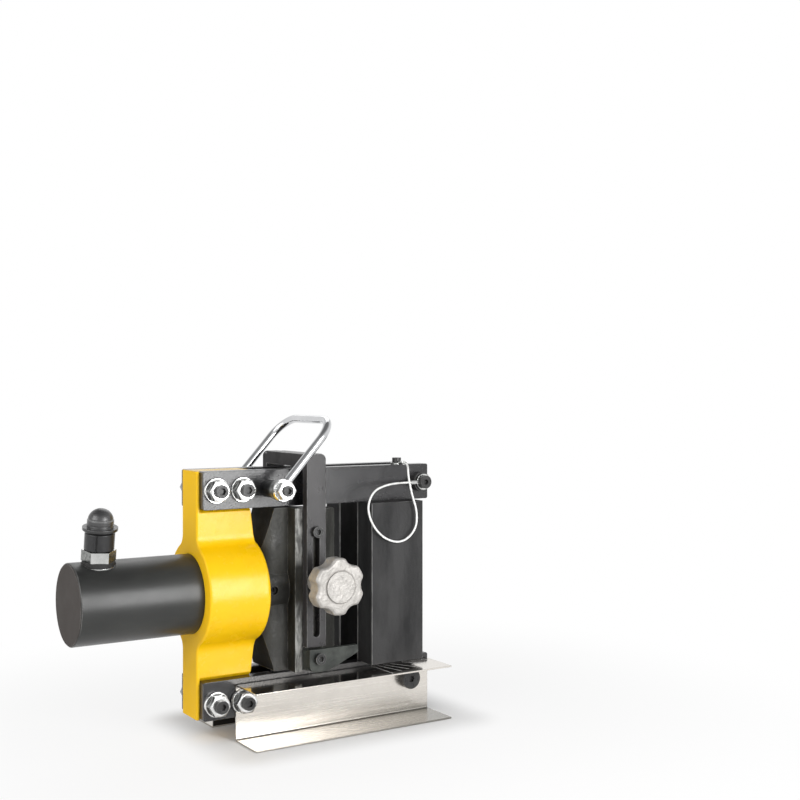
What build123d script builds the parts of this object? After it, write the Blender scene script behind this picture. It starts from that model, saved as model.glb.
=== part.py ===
"""Hydraulic flat bar bender: a horizontal ram drives a V nose into a V die between two pairs of bars.

Frame: +X is the ram's working direction, the bar to be bent passes along Y, +Z is up.
The origin is on the floor under the ram axis, midway along the two channel feet. Millimetres.
"""
import os
from math import cos, pi, radians, sin, sqrt, tan

from build123d import *

os.makedirs("parts", exist_ok=True)

# Clearances between pieces
fit_gap = 0.05
run_gap = 0.06
free_gap = 0.3

# Frame bars
bar_left = -137.5
bar_length = 243.5
bar_height = 35.0
bar_thick = 12.0
bar_corner = 2.0
core_width = 26.0
lower_bar_z = 22.0
throat_height = 156.0

# Studs and flange nuts that clamp the bars to the yoke
stud_dia = 12.0
first_stud_x = 12.5
stud_pitch = 26.0
lower_stud_drop = 3.0
stud_reach = 15.0
nut_across_flats = 18.0
nut_height = 11.0
nut_flange_dia = 24.0
nut_flange_thick = 2.5
nut_flange_taper = 15.0

# Yoke casting
yoke_overhang = 3.0
ear_length = 50.5
ear_width = 34.0
ear_round = 2.0
boss_dia = 98.0
boss_length = 60.0
boss_round = 3.0
cast_fillet = 12.0
pad_chamfer = 3.0

# Cylinder
barrel_dia = 73.0
barrel_reach = 115.5
barrel_inset = 54.5
barrel_edge = 1.2
bore_dia = 52.0
end_wall = 18.0
chamber_length = 16.0
piston_length = 25.0
piston_stop_dia = 24.0
seal_width = 6.0
seal_depth = 4.0
rod_dia = 30.0
rod_neck_dia = 18.0
rod_neck_length = 18.0
gland_length = 24.0
wiper_dia = 40.0
wiper_length = 6.0
spring_wire = 4.0
spring_mean_dia = 41.0
spring_turns = 8

# Hydraulic coupler on the barrel, turned a little to the front
port_inset = 25.0
port_tilt = 10.0
port_dia = 8.0
port_flat_drop = 2.8
port_washer_dia = 29.2
port_washer_thick = 1.0
port_seal_dia = 28.4
port_seal_height = 4.3
coupler_thread_dia = 16.0
coupler_thread_length = 7.0
coupler_hex = 26.0
coupler_hex_height = 9.6
coupler_hex_turn = -14.0
coupler_stem_dia = 19.0
coupler_bore_dia = 8.0
sleeve_dia = 26.0
sleeve_height = 15.4
sleeve_edge = 1.0
sleeve_slit = 2.0
sleeve_slit_depth = 1.6
sleeve_slit_turn = 29.0
cap_brim_dia = 30.6
cap_brim_height = 4.2
cap_brim_lip = 2.4
cap_side_dia = 23.0
cap_side_height = 6.4
cap_dome_dia = 21.6
cap_dome_foot = 1.9
cap_dome_rise = 8.2
cap_seat_depth = 5.5
cap_groove_drop = 3.4
cap_groove_width = 1.2
cap_groove_depth = 0.6

# Punch
hub_left = 59.5
hub_dia = 54.0
socket_depth = 23.0
set_screw_x = 70.5
set_screw_dia = 8.0
set_screw_length = 8.0
rib_width = 46.0
rib_round = 15.0
rib_root_fillet = 6.0
rib_hub_half = 30.0
rib_end_depth = 14.0
flange_left = 86.5
flange_thick = 7.5
punch_half_width = 38.0
punch_end_gap = 1.5
block_right = 115.5
nose_half_angle = 36.0
nose_tip_x = 148.5
nose_tip_radius = 8.0
nose_end_drop = 4.0
nose_corner = 7.0

# Guide bracket that straddles the upper bars
leg_left = 94.5
leg_width = 20.0
leg_thick = 8.0
leg_foot_z = 82.0
leg_corner = 5.0
bridge_height = 12.0
bridge_gap = 2.0
slot_width = 7.0
slot_foot_z = 91.0
guide_screw_z = 189.5
clamp_z = 144.0
screw_dia = 6.0
screw_grip = 12.0
screw_head_dia = 10.5
screw_head_height = 4.0
screw_socket = 5.0
socket_hole_depth = 3.0

# Star knob
knob_dia = 52.0
knob_head_thick = 15.0
knob_hub_length = 28.0
knob_hub_base_dia = 30.0
knob_hub_tip_dia = 22.0
knob_lobes = 6
knob_valley_radius = 11.0
knob_valley_depth = 3.6
knob_edge = 3.0
knob_lobe_round = 4.0
knob_disc_dia = 29.0
knob_disc_rise = 1.2
knob_stud_depth = 34.0
washer_dia = 20.0
washer_thick = 2.0

# Pointer
pointer_thick = 5.0
pointer_foot_z = 59.5
pointer_height = 21.0
pointer_back = 10.0
pointer_reach = 42.0
pointer_tip_height = 7.0
pointer_corner = 7.0
pointer_boss_width = 20.0
pointer_boss_height = 18.0
pointer_screw_z = 72.0

# V die and its pins
die_length = 58.5
die_end_inset = 19.0
die_half_width = 45.0
groove_half = 17.0
groove_relief = 4.0
lug_end_inset = 3.0
lug_length = 40.0
lug_reach = 30.0
gate_inset = 11.0
gate_pin_dia = 12.0
gate_head_dia = 19.0
gate_head_thick = 7.0
gate_neck_dia = 9.0
gate_neck_length = 4.0
gate_button_dia = 13.0
gate_button_thick = 3.0
gate_tail = 3.0
gate_chamfer = 2.0
hinge_inset = 25.0
hinge_pin_z = 35.0
hinge_pin_dia = 12.0
hinge_head_dia = 20.0
hinge_head_thick = 8.0
hinge_nut_height = 8.0
hinge_pin_proud = 2.0

# Carrying handle
handle_x = 65.0
handle_stud_dia = 10.0
handle_half_span = 51.0
handle_rod_dia = 8.0
handle_reach = 85.0
handle_lean = 42.0
handle_bend = 24.0
handle_eye_dia = 19.0
handle_eye_thick = 9.0
spacer_dia = 16.0
handle_nut_flats = 16.0
handle_nut_height = 9.0
handle_nut_flange_dia = 21.0
handle_stud_proud = 2.5

# Channel feet
channel_left = 31.5
channel_end_inset = 1.0
channel_height = 52.0
channel_flange = 44.0
channel_thick = 1.5
channel_bend = 3.0

# Lanyard of the gate pin
lanyard_dia = 2.0
lanyard_inset = 33.0
lanyard_screw_dia = 5.0
lanyard_screw_grip = 10.0
lanyard_screw_head_dia = 9.0
lanyard_screw_head_height = 5.0
lanyard_screw_socket = 3.0
eyelet_dia = 12.0
eyelet_thick = 1.6
ferrule_dia = 4.0
ferrule_length = 9.0
ferrule_lap = 1.5
pin_eyelet_dia = 16.0
lanyard_bend_share = 0.45

# Places worked out from the sizes above
bar_right = bar_left + bar_length
bar_outer = core_width / 2 + bar_thick
lower_bar_top = lower_bar_z + bar_height
upper_bar_z = lower_bar_top + throat_height
upper_bar_top = upper_bar_z + bar_height
ram_z = lower_bar_top + throat_height / 2
upper_stud_z = upper_bar_z + bar_height / 2
lower_stud_z = lower_bar_z + bar_height / 2 - lower_stud_drop
stud_xs = (bar_left + first_stud_x, bar_left + first_stud_x + stud_pitch)
handle_pivot_x = bar_left + handle_x
gate_x = bar_right - gate_inset
hinge_x = bar_right - hinge_inset
lanyard_x = bar_right - lanyard_inset
leg_x = bar_left + leg_left + leg_width / 2
leg_inner = punch_half_width + free_gap
leg_outer = leg_inner + leg_thick
punch_foot_z = lower_bar_top + punch_end_gap
punch_top_z = upper_bar_z - punch_end_gap
channel_outer = bar_outer + channel_thick
ram_axis = Axis((0, 0, ram_z), (1, 0, 0))


def ram_profile(points):
    """Closed outline of (x, radius) points, to be turned about the ram axis."""
    with BuildSketch(Plane.XZ) as outline:
        with BuildLine():
            Polyline(*[(x, ram_z + radius) for x, radius in points], close=True)
        make_face()
    return outline.sketch


def front_plane(x, y_out, z):
    """Plane whose normal points to the front, at a distance y_out from the middle."""
    return Plane(origin=(x, -y_out, z), x_dir=(1, 0, 0), z_dir=(0, -1, 0))


def rear_plane(x, y_out, z):
    """Plane whose normal points to the rear, at a distance y_out from the middle."""
    return Plane(origin=(x, y_out, z), x_dir=(-1, 0, 0), z_dir=(0, 1, 0))


def save(builder, name):
    """Label a finished piece and write it under its name."""
    builder.part.label = name
    export_step(builder.part, f"parts/{name}.step")


# Four frame bars
gate_bore = gate_pin_dia / 2 + run_gap
for bar_name, plane_offset, bar_z in (
    ("upper_front_bar", core_width / 2, upper_bar_z),
    ("upper_rear_bar", -bar_outer, upper_bar_z),
    ("lower_front_bar", core_width / 2, lower_bar_z),
    ("lower_rear_bar", -bar_outer, lower_bar_z),
):
    is_upper = bar_z == upper_bar_z
    stud_z = upper_stud_z if is_upper else lower_stud_z
    with BuildPart() as frame_bar:
        with BuildSketch(Plane.XZ.offset(plane_offset)) as bar_sketch:
            with Locations((bar_left + bar_length / 2, bar_z + bar_height / 2)):
                Rectangle(bar_length, bar_height)
            fillet(bar_sketch.vertices(), bar_corner)
            with Locations(*[(x, stud_z) for x in stud_xs]):
                Circle(stud_dia / 2 + fit_gap, mode=Mode.SUBTRACT)
            if is_upper:
                with Locations((handle_pivot_x, upper_stud_z)):
                    Circle(handle_stud_dia / 2 + fit_gap, mode=Mode.SUBTRACT)
                with Locations((gate_x, upper_stud_z)):
                    Circle(gate_bore, mode=Mode.SUBTRACT)
            else:
                with Locations((hinge_x, hinge_pin_z)):
                    Circle(hinge_pin_dia / 2 + fit_gap, mode=Mode.SUBTRACT)
        extrude(amount=bar_thick)
        if bar_name == "upper_front_bar":
            with Locations((lanyard_x, -(core_width + bar_thick) / 2, upper_bar_top)):
                Hole(lanyard_screw_dia / 2 + fit_gap, depth=lanyard_screw_grip + free_gap)
    save(frame_bar, bar_name)


# Yoke casting: ears between the bars, a lip over the bars' ends and a boss round the barrel
yoke_left = bar_left - yoke_overhang
pad_left = bar_left - fit_gap
ear_right = bar_left + ear_length
boss_right = yoke_left + boss_length
boss_radius = boss_dia / 2
boss_shoulder = boss_right - boss_round
yoke_half_height = (upper_bar_top - lower_bar_z) / 2
with BuildPart() as yoke:
    with BuildSketch(Plane.YZ.offset(yoke_left)) as yoke_end:
        with Locations((0, ram_z)):
            Rectangle(ear_width, 2 * yoke_half_height)
            Circle(boss_radius)
        boss_corners = yoke_end.vertices().filter_by_position(
            Axis.Y, lower_bar_top, upper_bar_z, (False, False)
        )
        fillet(boss_corners, cast_fillet)
    extrude(amount=boss_length)
    with BuildSketch(Plane.XZ):
        with BuildLine():
            Polyline(
                (yoke_left, lower_bar_z),
                (ear_right, lower_bar_z),
                (ear_right, lower_bar_top),
                (boss_shoulder, ram_z - boss_radius),
                (boss_right, ram_z - boss_radius),
                (boss_right, ram_z + boss_radius),
                (boss_shoulder, ram_z + boss_radius),
                (ear_right, upper_bar_z),
                (ear_right, upper_bar_top),
                (yoke_left, upper_bar_top),
                close=True,
            )
        make_face()
    extrude(amount=boss_dia, both=True, mode=Mode.INTERSECT)
    with BuildSketch(Plane.XZ):
        with BuildLine():
            boss_face = Line((boss_right, ram_z), (boss_right, ram_z + boss_radius - boss_round))
            boss_rim = TangentArc(boss_face @ 1, (boss_shoulder, ram_z + boss_radius), tangent=(0, 1))
            Polyline(
                boss_rim @ 1,
                (boss_shoulder, ram_z + boss_dia),
                (boss_right + boss_round, ram_z + boss_dia),
                (boss_right + boss_round, ram_z),
                boss_face @ 0,
            )
        make_face()
    revolve(axis=ram_axis, mode=Mode.SUBTRACT)
    left_outline = yoke.faces().sort_by(Axis.X)[0].edges().filter_by(Axis.Y, reverse=True)
    fillet(left_outline, ear_round)
    with BuildSketch(Plane.YZ.offset(yoke_left)):
        with Locations((0, ram_z)):
            Circle(barrel_dia / 2 + fit_gap)
    extrude(amount=boss_length, mode=Mode.SUBTRACT)
    for pad_z in (lower_bar_z, upper_bar_z):
        for pad_y in (-(bar_outer + core_width / 2) / 2, (bar_outer + core_width / 2) / 2):
            with Locations((pad_left + bar_length / 2, pad_y, pad_z + bar_height / 2)):
                Box(bar_length, bar_thick, bar_height, mode=Mode.SUBTRACT)
    with BuildSketch(Plane.YZ.offset(pad_left)):
        for side in (-1, 1):
            for pad_edge_z, inward in ((lower_bar_top, 1), (upper_bar_z, -1)):
                with BuildLine():
                    Polyline(
                        (side * ear_width / 2, pad_edge_z),
                        (side * (ear_width / 2 - pad_chamfer), pad_edge_z),
                        (side * ear_width / 2, pad_edge_z + inward * pad_chamfer),
                        close=True,
                    )
                make_face()
    extrude(amount=boss_length, mode=Mode.SUBTRACT)
    with BuildSketch(Plane.XZ.offset(-ear_width)):
        with Locations(*[(x, z) for x in stud_xs for z in (lower_stud_z, upper_stud_z)]):
            Circle(stud_dia / 2 + fit_gap)
    extrude(amount=2 * ear_width, mode=Mode.SUBTRACT)
save(yoke, "yoke")


# Cylinder barrel, closed at the left, with the port and its flat
barrel_left = bar_left - barrel_reach
barrel_right = bar_left + barrel_inset
barrel_radius = barrel_dia / 2
bore_radius = bore_dia / 2
bore_left = barrel_left + end_wall
port_x = barrel_left + port_inset
port_flat = barrel_radius - port_flat_drop
port_lean = radians(port_tilt)
port_plane = Plane(origin=(port_x, 0, ram_z), x_dir=(1, 0, 0), z_dir=(0, -sin(port_lean), cos(port_lean)))
port_axis = Axis(port_plane.origin, port_plane.z_dir)
with BuildPart() as cylinder_barrel:
    revolve(
        ram_profile(
            [
                (barrel_left, 0),
                (barrel_left, barrel_radius),
                (barrel_right, barrel_radius),
                (barrel_right, bore_radius),
                (bore_left, bore_radius),
                (bore_left, 0),
            ]
        ),
        axis=ram_axis,
    )
    chamfer(cylinder_barrel.edges().filter_by(GeomType.CIRCLE).group_by(Axis.X)[0], barrel_edge)
    with BuildSketch(port_plane.offset(port_flat)):
        Circle(port_washer_dia / 2 + free_gap)
    extrude(amount=2 * port_flat_drop, mode=Mode.SUBTRACT)
    with Locations(port_plane.offset(port_flat)):
        CounterBoreHole(
            port_dia / 2,
            coupler_thread_dia / 2 + fit_gap,
            coupler_thread_length + free_gap,
            depth=port_flat,
        )
save(cylinder_barrel, "cylinder_barrel")


# Piston with its stop boss and seal groove
piston_left = bore_left + chamber_length
piston_right = piston_left + piston_length
piston_radius = bore_radius - run_gap
seal_floor = piston_radius - seal_depth
seal_left = piston_left + (piston_length - seal_width) / 2
neck_radius = rod_neck_dia / 2
with BuildPart() as cylinder_piston:
    revolve(
        ram_profile(
            [
                (bore_left + free_gap, 0),
                (bore_left + free_gap, piston_stop_dia / 2),
                (piston_left, piston_stop_dia / 2),
                (piston_left, piston_radius),
                (seal_left, piston_radius),
                (seal_left, seal_floor),
                (seal_left + seal_width, seal_floor),
                (seal_left + seal_width, piston_radius),
                (piston_right, piston_radius),
                (piston_right, neck_radius + fit_gap),
                (piston_right - rod_neck_length, neck_radius + fit_gap),
                (piston_right - rod_neck_length, 0),
            ]
        ),
        axis=ram_axis,
    )
save(cylinder_piston, "cylinder_piston")


# Piston seal in its groove
with BuildPart() as piston_seal:
    revolve(
        ram_profile(
            [
                (seal_left + fit_gap, seal_floor + fit_gap),
                (seal_left + fit_gap, piston_radius),
                (seal_left + seal_width - fit_gap, piston_radius),
                (seal_left + seal_width - fit_gap, seal_floor + fit_gap),
            ]
        ),
        axis=ram_axis,
    )
save(piston_seal, "piston_seal")


# Ram rod from the piston into the punch hub
rod_radius = rod_dia / 2
rod_right = bar_left + hub_left + socket_depth
with BuildPart() as ram_rod:
    revolve(
        ram_profile(
            [
                (piston_right - rod_neck_length + fit_gap, 0),
                (piston_right - rod_neck_length + fit_gap, neck_radius),
                (piston_right, neck_radius),
                (piston_right, rod_radius),
                (rod_right - fit_gap, rod_radius),
                (rod_right - fit_gap, 0),
            ]
        ),
        axis=ram_axis,
    )
save(ram_rod, "ram_rod")


# Gland bush that closes the barrel and guides the rod
gland_left = barrel_right - gland_length
wiper_left = barrel_right - wiper_length
with BuildPart() as gland_bush:
    revolve(
        ram_profile(
            [
                (gland_left, rod_radius + run_gap),
                (gland_left, bore_radius - fit_gap),
                (barrel_right, bore_radius - fit_gap),
                (barrel_right, wiper_dia / 2),
                (wiper_left, wiper_dia / 2),
                (wiper_left, rod_radius + run_gap),
            ]
        ),
        axis=ram_axis,
    )
save(gland_bush, "gland_bush")


# Rod wiper in the mouth of the gland
with BuildPart() as rod_wiper:
    revolve(
        ram_profile(
            [
                (wiper_left, rod_radius + run_gap),
                (wiper_left, wiper_dia / 2 - fit_gap),
                (barrel_right - wiper_length / 3, wiper_dia / 2 - fit_gap),
                (barrel_right, rod_radius + wiper_length / 4),
                (barrel_right, rod_radius + run_gap),
            ]
        ),
        axis=ram_axis,
    )
save(rod_wiper, "rod_wiper")


# Return spring between the piston and the gland, wound as half-turn biarcs
spring_radius = spring_mean_dia / 2
spring_start = piston_right + spring_wire / 2 + free_gap
spring_end = gland_left - spring_wire / 2 - free_gap
spring_lead = (spring_end - spring_start) / spring_turns


def spring_point(turn):
    """Point of the spring's centre line after a number of turns."""
    angle = 2 * pi * turn
    across = spring_radius * cos(angle)
    up = spring_radius * sin(angle)
    return Vector(spring_start + spring_lead * turn, across, ram_z + up)


def spring_tangent(turn):
    """Unit direction of the spring's centre line after a number of turns."""
    angle = 2 * pi * turn
    rise = spring_lead / (2 * pi)
    return Vector(rise, -spring_radius * sin(angle), spring_radius * cos(angle)).normalized()


def biarc_joint(start, start_dir, end, end_dir):
    """Point where two arcs meet that join two points in the given directions."""
    chord = end - start
    along = chord.dot(start_dir + end_dir)
    spread = 2 * (1 - start_dir.dot(end_dir))
    reach = (-along + sqrt(along**2 + spread * chord.dot(chord))) / spread
    return (start + end + (start_dir - end_dir) * reach) * 0.5


with BuildPart() as return_spring:
    with BuildLine() as spring_path:
        for half_turn in range(2 * spring_turns):
            span_start = spring_point(half_turn / 2)
            span_end = spring_point((half_turn + 1) / 2)
            start_dir = spring_tangent(half_turn / 2)
            end_dir = spring_tangent((half_turn + 1) / 2)
            joint = biarc_joint(span_start, start_dir, span_end, end_dir)
            TangentArc(span_start, joint, tangent=start_dir)
            TangentArc(span_end, joint, tangent=end_dir * -1)
    with BuildSketch(Plane(origin=spring_point(0), z_dir=spring_tangent(0))):
        Circle(spring_wire / 2)
    sweep(path=spring_path.wire())
save(return_spring, "return_spring")
turn_length = sqrt(spring_lead**2 + (pi * spring_mean_dia) ** 2)
spring_gap = spring_lead * spring_mean_dia * pi / turn_length - spring_wire
print(f"return spring least gap between turns {spring_gap:.2f} mm")


# Washer and rubber seal under the coupler, on the barrel's flat
port_seal_foot = port_flat + port_washer_thick
coupler_hex_foot = port_seal_foot + port_seal_height
with BuildPart() as port_washer:
    with BuildSketch(port_plane.offset(port_flat)):
        Circle(port_washer_dia / 2)
        Circle(coupler_thread_dia / 2 + fit_gap, mode=Mode.SUBTRACT)
    extrude(amount=port_washer_thick)
save(port_washer, "port_washer")

with BuildPart() as port_seal:
    with BuildSketch(port_plane.offset(port_seal_foot)):
        Circle(port_seal_dia / 2)
        Circle(coupler_thread_dia / 2 + fit_gap, mode=Mode.SUBTRACT)
    extrude(amount=port_seal_height)
save(port_seal, "port_seal")


# Coupler body: thread, hexagon and the stem that carries the sleeve
coupler_stem_foot = coupler_hex_foot + coupler_hex_height
sleeve_foot = coupler_stem_foot + free_gap
sleeve_top = sleeve_foot + sleeve_height
cap_foot = sleeve_top + free_gap
stem_top = cap_foot + cap_seat_depth
with BuildPart() as coupler_body:
    with BuildSketch(port_plane.offset(port_flat - coupler_thread_length)):
        Circle(coupler_thread_dia / 2)
    extrude(amount=coupler_thread_length + coupler_hex_foot - port_flat)
    with BuildSketch(port_plane.offset(coupler_hex_foot)):
        RegularPolygon(coupler_hex / 2, 6, major_radius=False, rotation=coupler_hex_turn)
    extrude(amount=coupler_hex_height)
    with BuildSketch(port_plane.offset(coupler_stem_foot)):
        Circle(coupler_stem_dia / 2)
    extrude(amount=stem_top - coupler_stem_foot)
    with Locations(port_plane.offset(stem_top)):
        Hole(coupler_bore_dia / 2)
save(coupler_body, "coupler_body")


# Black locking sleeve that turns on the coupler's stem
with BuildPart() as coupler_sleeve:
    with BuildSketch(port_plane.offset(sleeve_foot)):
        Circle(sleeve_dia / 2)
        Circle(coupler_stem_dia / 2 + run_gap, mode=Mode.SUBTRACT)
    extrude(amount=sleeve_height)
    sleeve_rims = coupler_sleeve.edges().filter_by(GeomType.CIRCLE).sort_by(SortBy.RADIUS)
    fillet(sleeve_rims[-2:], sleeve_edge)
    with Locations(port_plane.offset(sleeve_foot + sleeve_height / 2)):
        with PolarLocations(sleeve_dia / 2, 1, start_angle=-90 - sleeve_slit_turn):
            Box(2 * sleeve_slit_depth, sleeve_slit, sleeve_height, mode=Mode.SUBTRACT)
save(coupler_sleeve, "coupler_sleeve")


# Domed dust cap that pulls off along the port's axis
brim_top = cap_foot + cap_brim_height
cap_side_top = brim_top + cap_side_height
cap_groove_top = cap_side_top - cap_groove_drop
dome_foot = cap_side_top + cap_dome_foot
side_radius = cap_side_dia / 2
dome_radius = cap_dome_dia / 2
with BuildPart() as dust_cap:
    with BuildSketch(Plane(port_plane.origin, x_dir=port_plane.x_dir, z_dir=-port_plane.y_dir)):
        with BuildLine():
            skirt = Polyline(
                (0, cap_foot),
                (sleeve_dia / 2, cap_foot),
                (cap_brim_dia / 2, brim_top - cap_brim_lip),
                (cap_brim_dia / 2, brim_top),
                (side_radius, brim_top),
                (side_radius, cap_groove_top - cap_groove_width),
                (side_radius - cap_groove_depth, cap_groove_top - cap_groove_width),
                (side_radius - cap_groove_depth, cap_groove_top),
                (side_radius, cap_groove_top),
                (side_radius, cap_side_top),
                (dome_radius, cap_side_top + side_radius - dome_radius),
                (dome_radius, dome_foot),
            )
            crown = TangentArc((0, dome_foot + cap_dome_rise), skirt @ 1, tangent=(1, 0))
            Line(crown @ 0, skirt @ 0)
        make_face()
    revolve(axis=port_axis)
    with BuildSketch(port_plane.offset(cap_foot)):
        Circle(coupler_stem_dia / 2 + run_gap)
    extrude(amount=cap_seat_depth + free_gap, mode=Mode.SUBTRACT)
save(dust_cap, "dust_cap")


# Black studs through the bars and the yoke, and their flange nuts
def seat_of(x, z):
    """Outer face under a stud's nut: the channel's web where it is clamped, else the bar."""
    on_channel = z == lower_stud_z and x > bar_left + channel_left
    return channel_outer if on_channel else bar_outer


stud_places = [(x, z) for z in (lower_stud_z, upper_stud_z) for x in stud_xs]
with BuildPart() as yoke_studs:
    for stud_x, stud_z in stud_places:
        with BuildSketch(front_plane(stud_x, seat_of(stud_x, stud_z) + stud_reach, stud_z)):
            Circle(stud_dia / 2)
        extrude(amount=-2 * (seat_of(stud_x, stud_z) + stud_reach))
        with BuildSketch(front_plane(stud_x, seat_of(stud_x, stud_z) + stud_reach, stud_z)):
            RegularPolygon(stud_dia / 4, 6, major_radius=False)
        extrude(amount=-socket_hole_depth, mode=Mode.SUBTRACT)
save(yoke_studs, "yoke_studs")


def make_flange_nut(across_flats, height, flange_dia, hole_dia):
    """Hexagon nut on a round flange, standing on Z = 0 with its corners turned off at the top."""
    with BuildPart() as nut:
        with BuildSketch():
            RegularPolygon(across_flats / 2, 6, major_radius=False)
        extrude(amount=height)
        corner_drop = (flange_dia - across_flats) / 4
        with BuildSketch(Plane.XZ):
            with BuildLine():
                Polyline(
                    (0, 0),
                    (flange_dia / 2, 0),
                    (flange_dia / 2, height - corner_drop),
                    (across_flats / 2 - corner_drop / 2, height),
                    (0, height),
                    close=True,
                )
            make_face()
        revolve(axis=Axis.Z, mode=Mode.INTERSECT)
        with BuildSketch():
            Circle(flange_dia / 2)
        extrude(amount=nut_flange_thick, taper=nut_flange_taper)
        with Locations((0, 0, height)):
            Hole(hole_dia / 2 + fit_gap)
    return nut.part


yoke_nut = make_flange_nut(nut_across_flats, nut_height, nut_flange_dia, stud_dia)
with BuildPart() as yoke_nuts:
    with Locations(*[front_plane(x, seat_of(x, z), z) for x, z in stud_places]):
        add(yoke_nut)
    with Locations(*[rear_plane(x, seat_of(x, z), z) for x, z in stud_places]):
        add(yoke_nut)
save(yoke_nuts, "yoke_nuts")


# Handle stud across both upper bars, with spacers and nuts
eye_inner = handle_half_span - handle_eye_thick / 2
eye_outer = handle_half_span + handle_eye_thick / 2
spacer_outer = eye_inner - free_gap
handle_nut_seat = eye_outer + free_gap
handle_stud_end = handle_nut_seat + handle_nut_height + handle_stud_proud
with BuildPart() as handle_stud:
    with BuildSketch(front_plane(handle_pivot_x, handle_stud_end, upper_stud_z)):
        Circle(handle_stud_dia / 2)
    extrude(amount=-2 * handle_stud_end)
    with BuildSketch(front_plane(handle_pivot_x, handle_stud_end, upper_stud_z)):
        RegularPolygon(handle_stud_dia / 4, 6, major_radius=False)
    extrude(amount=-socket_hole_depth, mode=Mode.SUBTRACT)
save(handle_stud, "handle_stud")

with BuildPart() as handle_spacers:
    with BuildSketch(front_plane(handle_pivot_x, bar_outer, upper_stud_z)):
        Circle(spacer_dia / 2)
        Circle(handle_stud_dia / 2 + fit_gap, mode=Mode.SUBTRACT)
    extrude(amount=spacer_outer - bar_outer)
    mirror(about=Plane.XZ)
save(handle_spacers, "handle_spacers")

handle_nut = make_flange_nut(handle_nut_flats, handle_nut_height, handle_nut_flange_dia, handle_stud_dia)
with BuildPart() as handle_nuts:
    with Locations(
        front_plane(handle_pivot_x, handle_nut_seat, upper_stud_z),
        rear_plane(handle_pivot_x, handle_nut_seat, upper_stud_z),
    ):
        add(handle_nut)
save(handle_nuts, "handle_nuts")


# Carrying handle: one bent rod with an eye at each end
lean = radians(handle_lean)
handle_plane = Plane(
    origin=(handle_pivot_x, 0, upper_stud_z),
    x_dir=(0, 1, 0),
    z_dir=(cos(lean), 0, -sin(lean)),
)
eye_radius = handle_eye_dia / 2
with BuildPart() as carry_handle:
    with BuildLine(handle_plane) as handle_path:
        FilletPolyline(
            (-handle_half_span, eye_radius - handle_rod_dia / 2),
            (-handle_half_span, handle_reach),
            (handle_half_span, handle_reach),
            (handle_half_span, eye_radius - handle_rod_dia / 2),
            radius=handle_bend,
        )
    with BuildSketch(Plane(origin=handle_path.line @ 0, z_dir=handle_path.line % 0)):
        Circle(handle_rod_dia / 2)
    sweep(path=handle_path.wire())
    for eye_start in (eye_outer, -eye_inner):
        with BuildSketch(front_plane(handle_pivot_x, eye_start, upper_stud_z)):
            Circle(eye_radius)
        extrude(amount=-handle_eye_thick)
    with BuildSketch(front_plane(handle_pivot_x, 2 * eye_outer, upper_stud_z)):
        Circle(handle_stud_dia / 2 + run_gap)
    extrude(amount=-4 * eye_outer, mode=Mode.SUBTRACT)
save(carry_handle, "carry_handle")


# Punch casting: hub, ribs, machined flange and V nose with rounded ends
hub_x = bar_left + hub_left
punch_flange_x = bar_left + flange_left
block_left_x = punch_flange_x + flange_thick
block_right_x = bar_left + block_right
tip_x = bar_left + nose_tip_x
nose_slope = radians(nose_half_angle)
apex_x = tip_x + nose_tip_radius * (1 / sin(nose_slope) - 1)
nose_root_half = (apex_x - block_right_x) * tan(nose_slope)
punch_height = punch_top_z - punch_foot_z
nose_height = punch_height - 2 * nose_end_drop
set_screw_place = bar_left + set_screw_x
with BuildPart() as nose:
    with BuildSketch(Plane.XY.offset(punch_foot_z + nose_end_drop)) as nose_sketch:
        with BuildLine():
            Polyline(
                (block_left_x, -punch_half_width),
                (block_right_x, -punch_half_width),
                (block_right_x, -nose_root_half),
                (apex_x, 0),
                (block_right_x, nose_root_half),
                (block_right_x, punch_half_width),
                (block_left_x, punch_half_width),
                close=True,
            )
        make_face()
        fillet(nose_sketch.vertices().sort_by(Axis.X)[-1], nose_tip_radius)
    extrude(amount=nose_height)
    with BuildSketch(Plane.XZ) as nose_side:
        with Locations(((block_left_x + tip_x) / 2, ram_z)):
            Rectangle(tip_x - block_left_x, nose_height)
        fillet(nose_side.vertices().group_by(Axis.X)[-1], nose_corner)
    extrude(amount=2 * punch_half_width, both=True, mode=Mode.INTERSECT)

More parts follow.
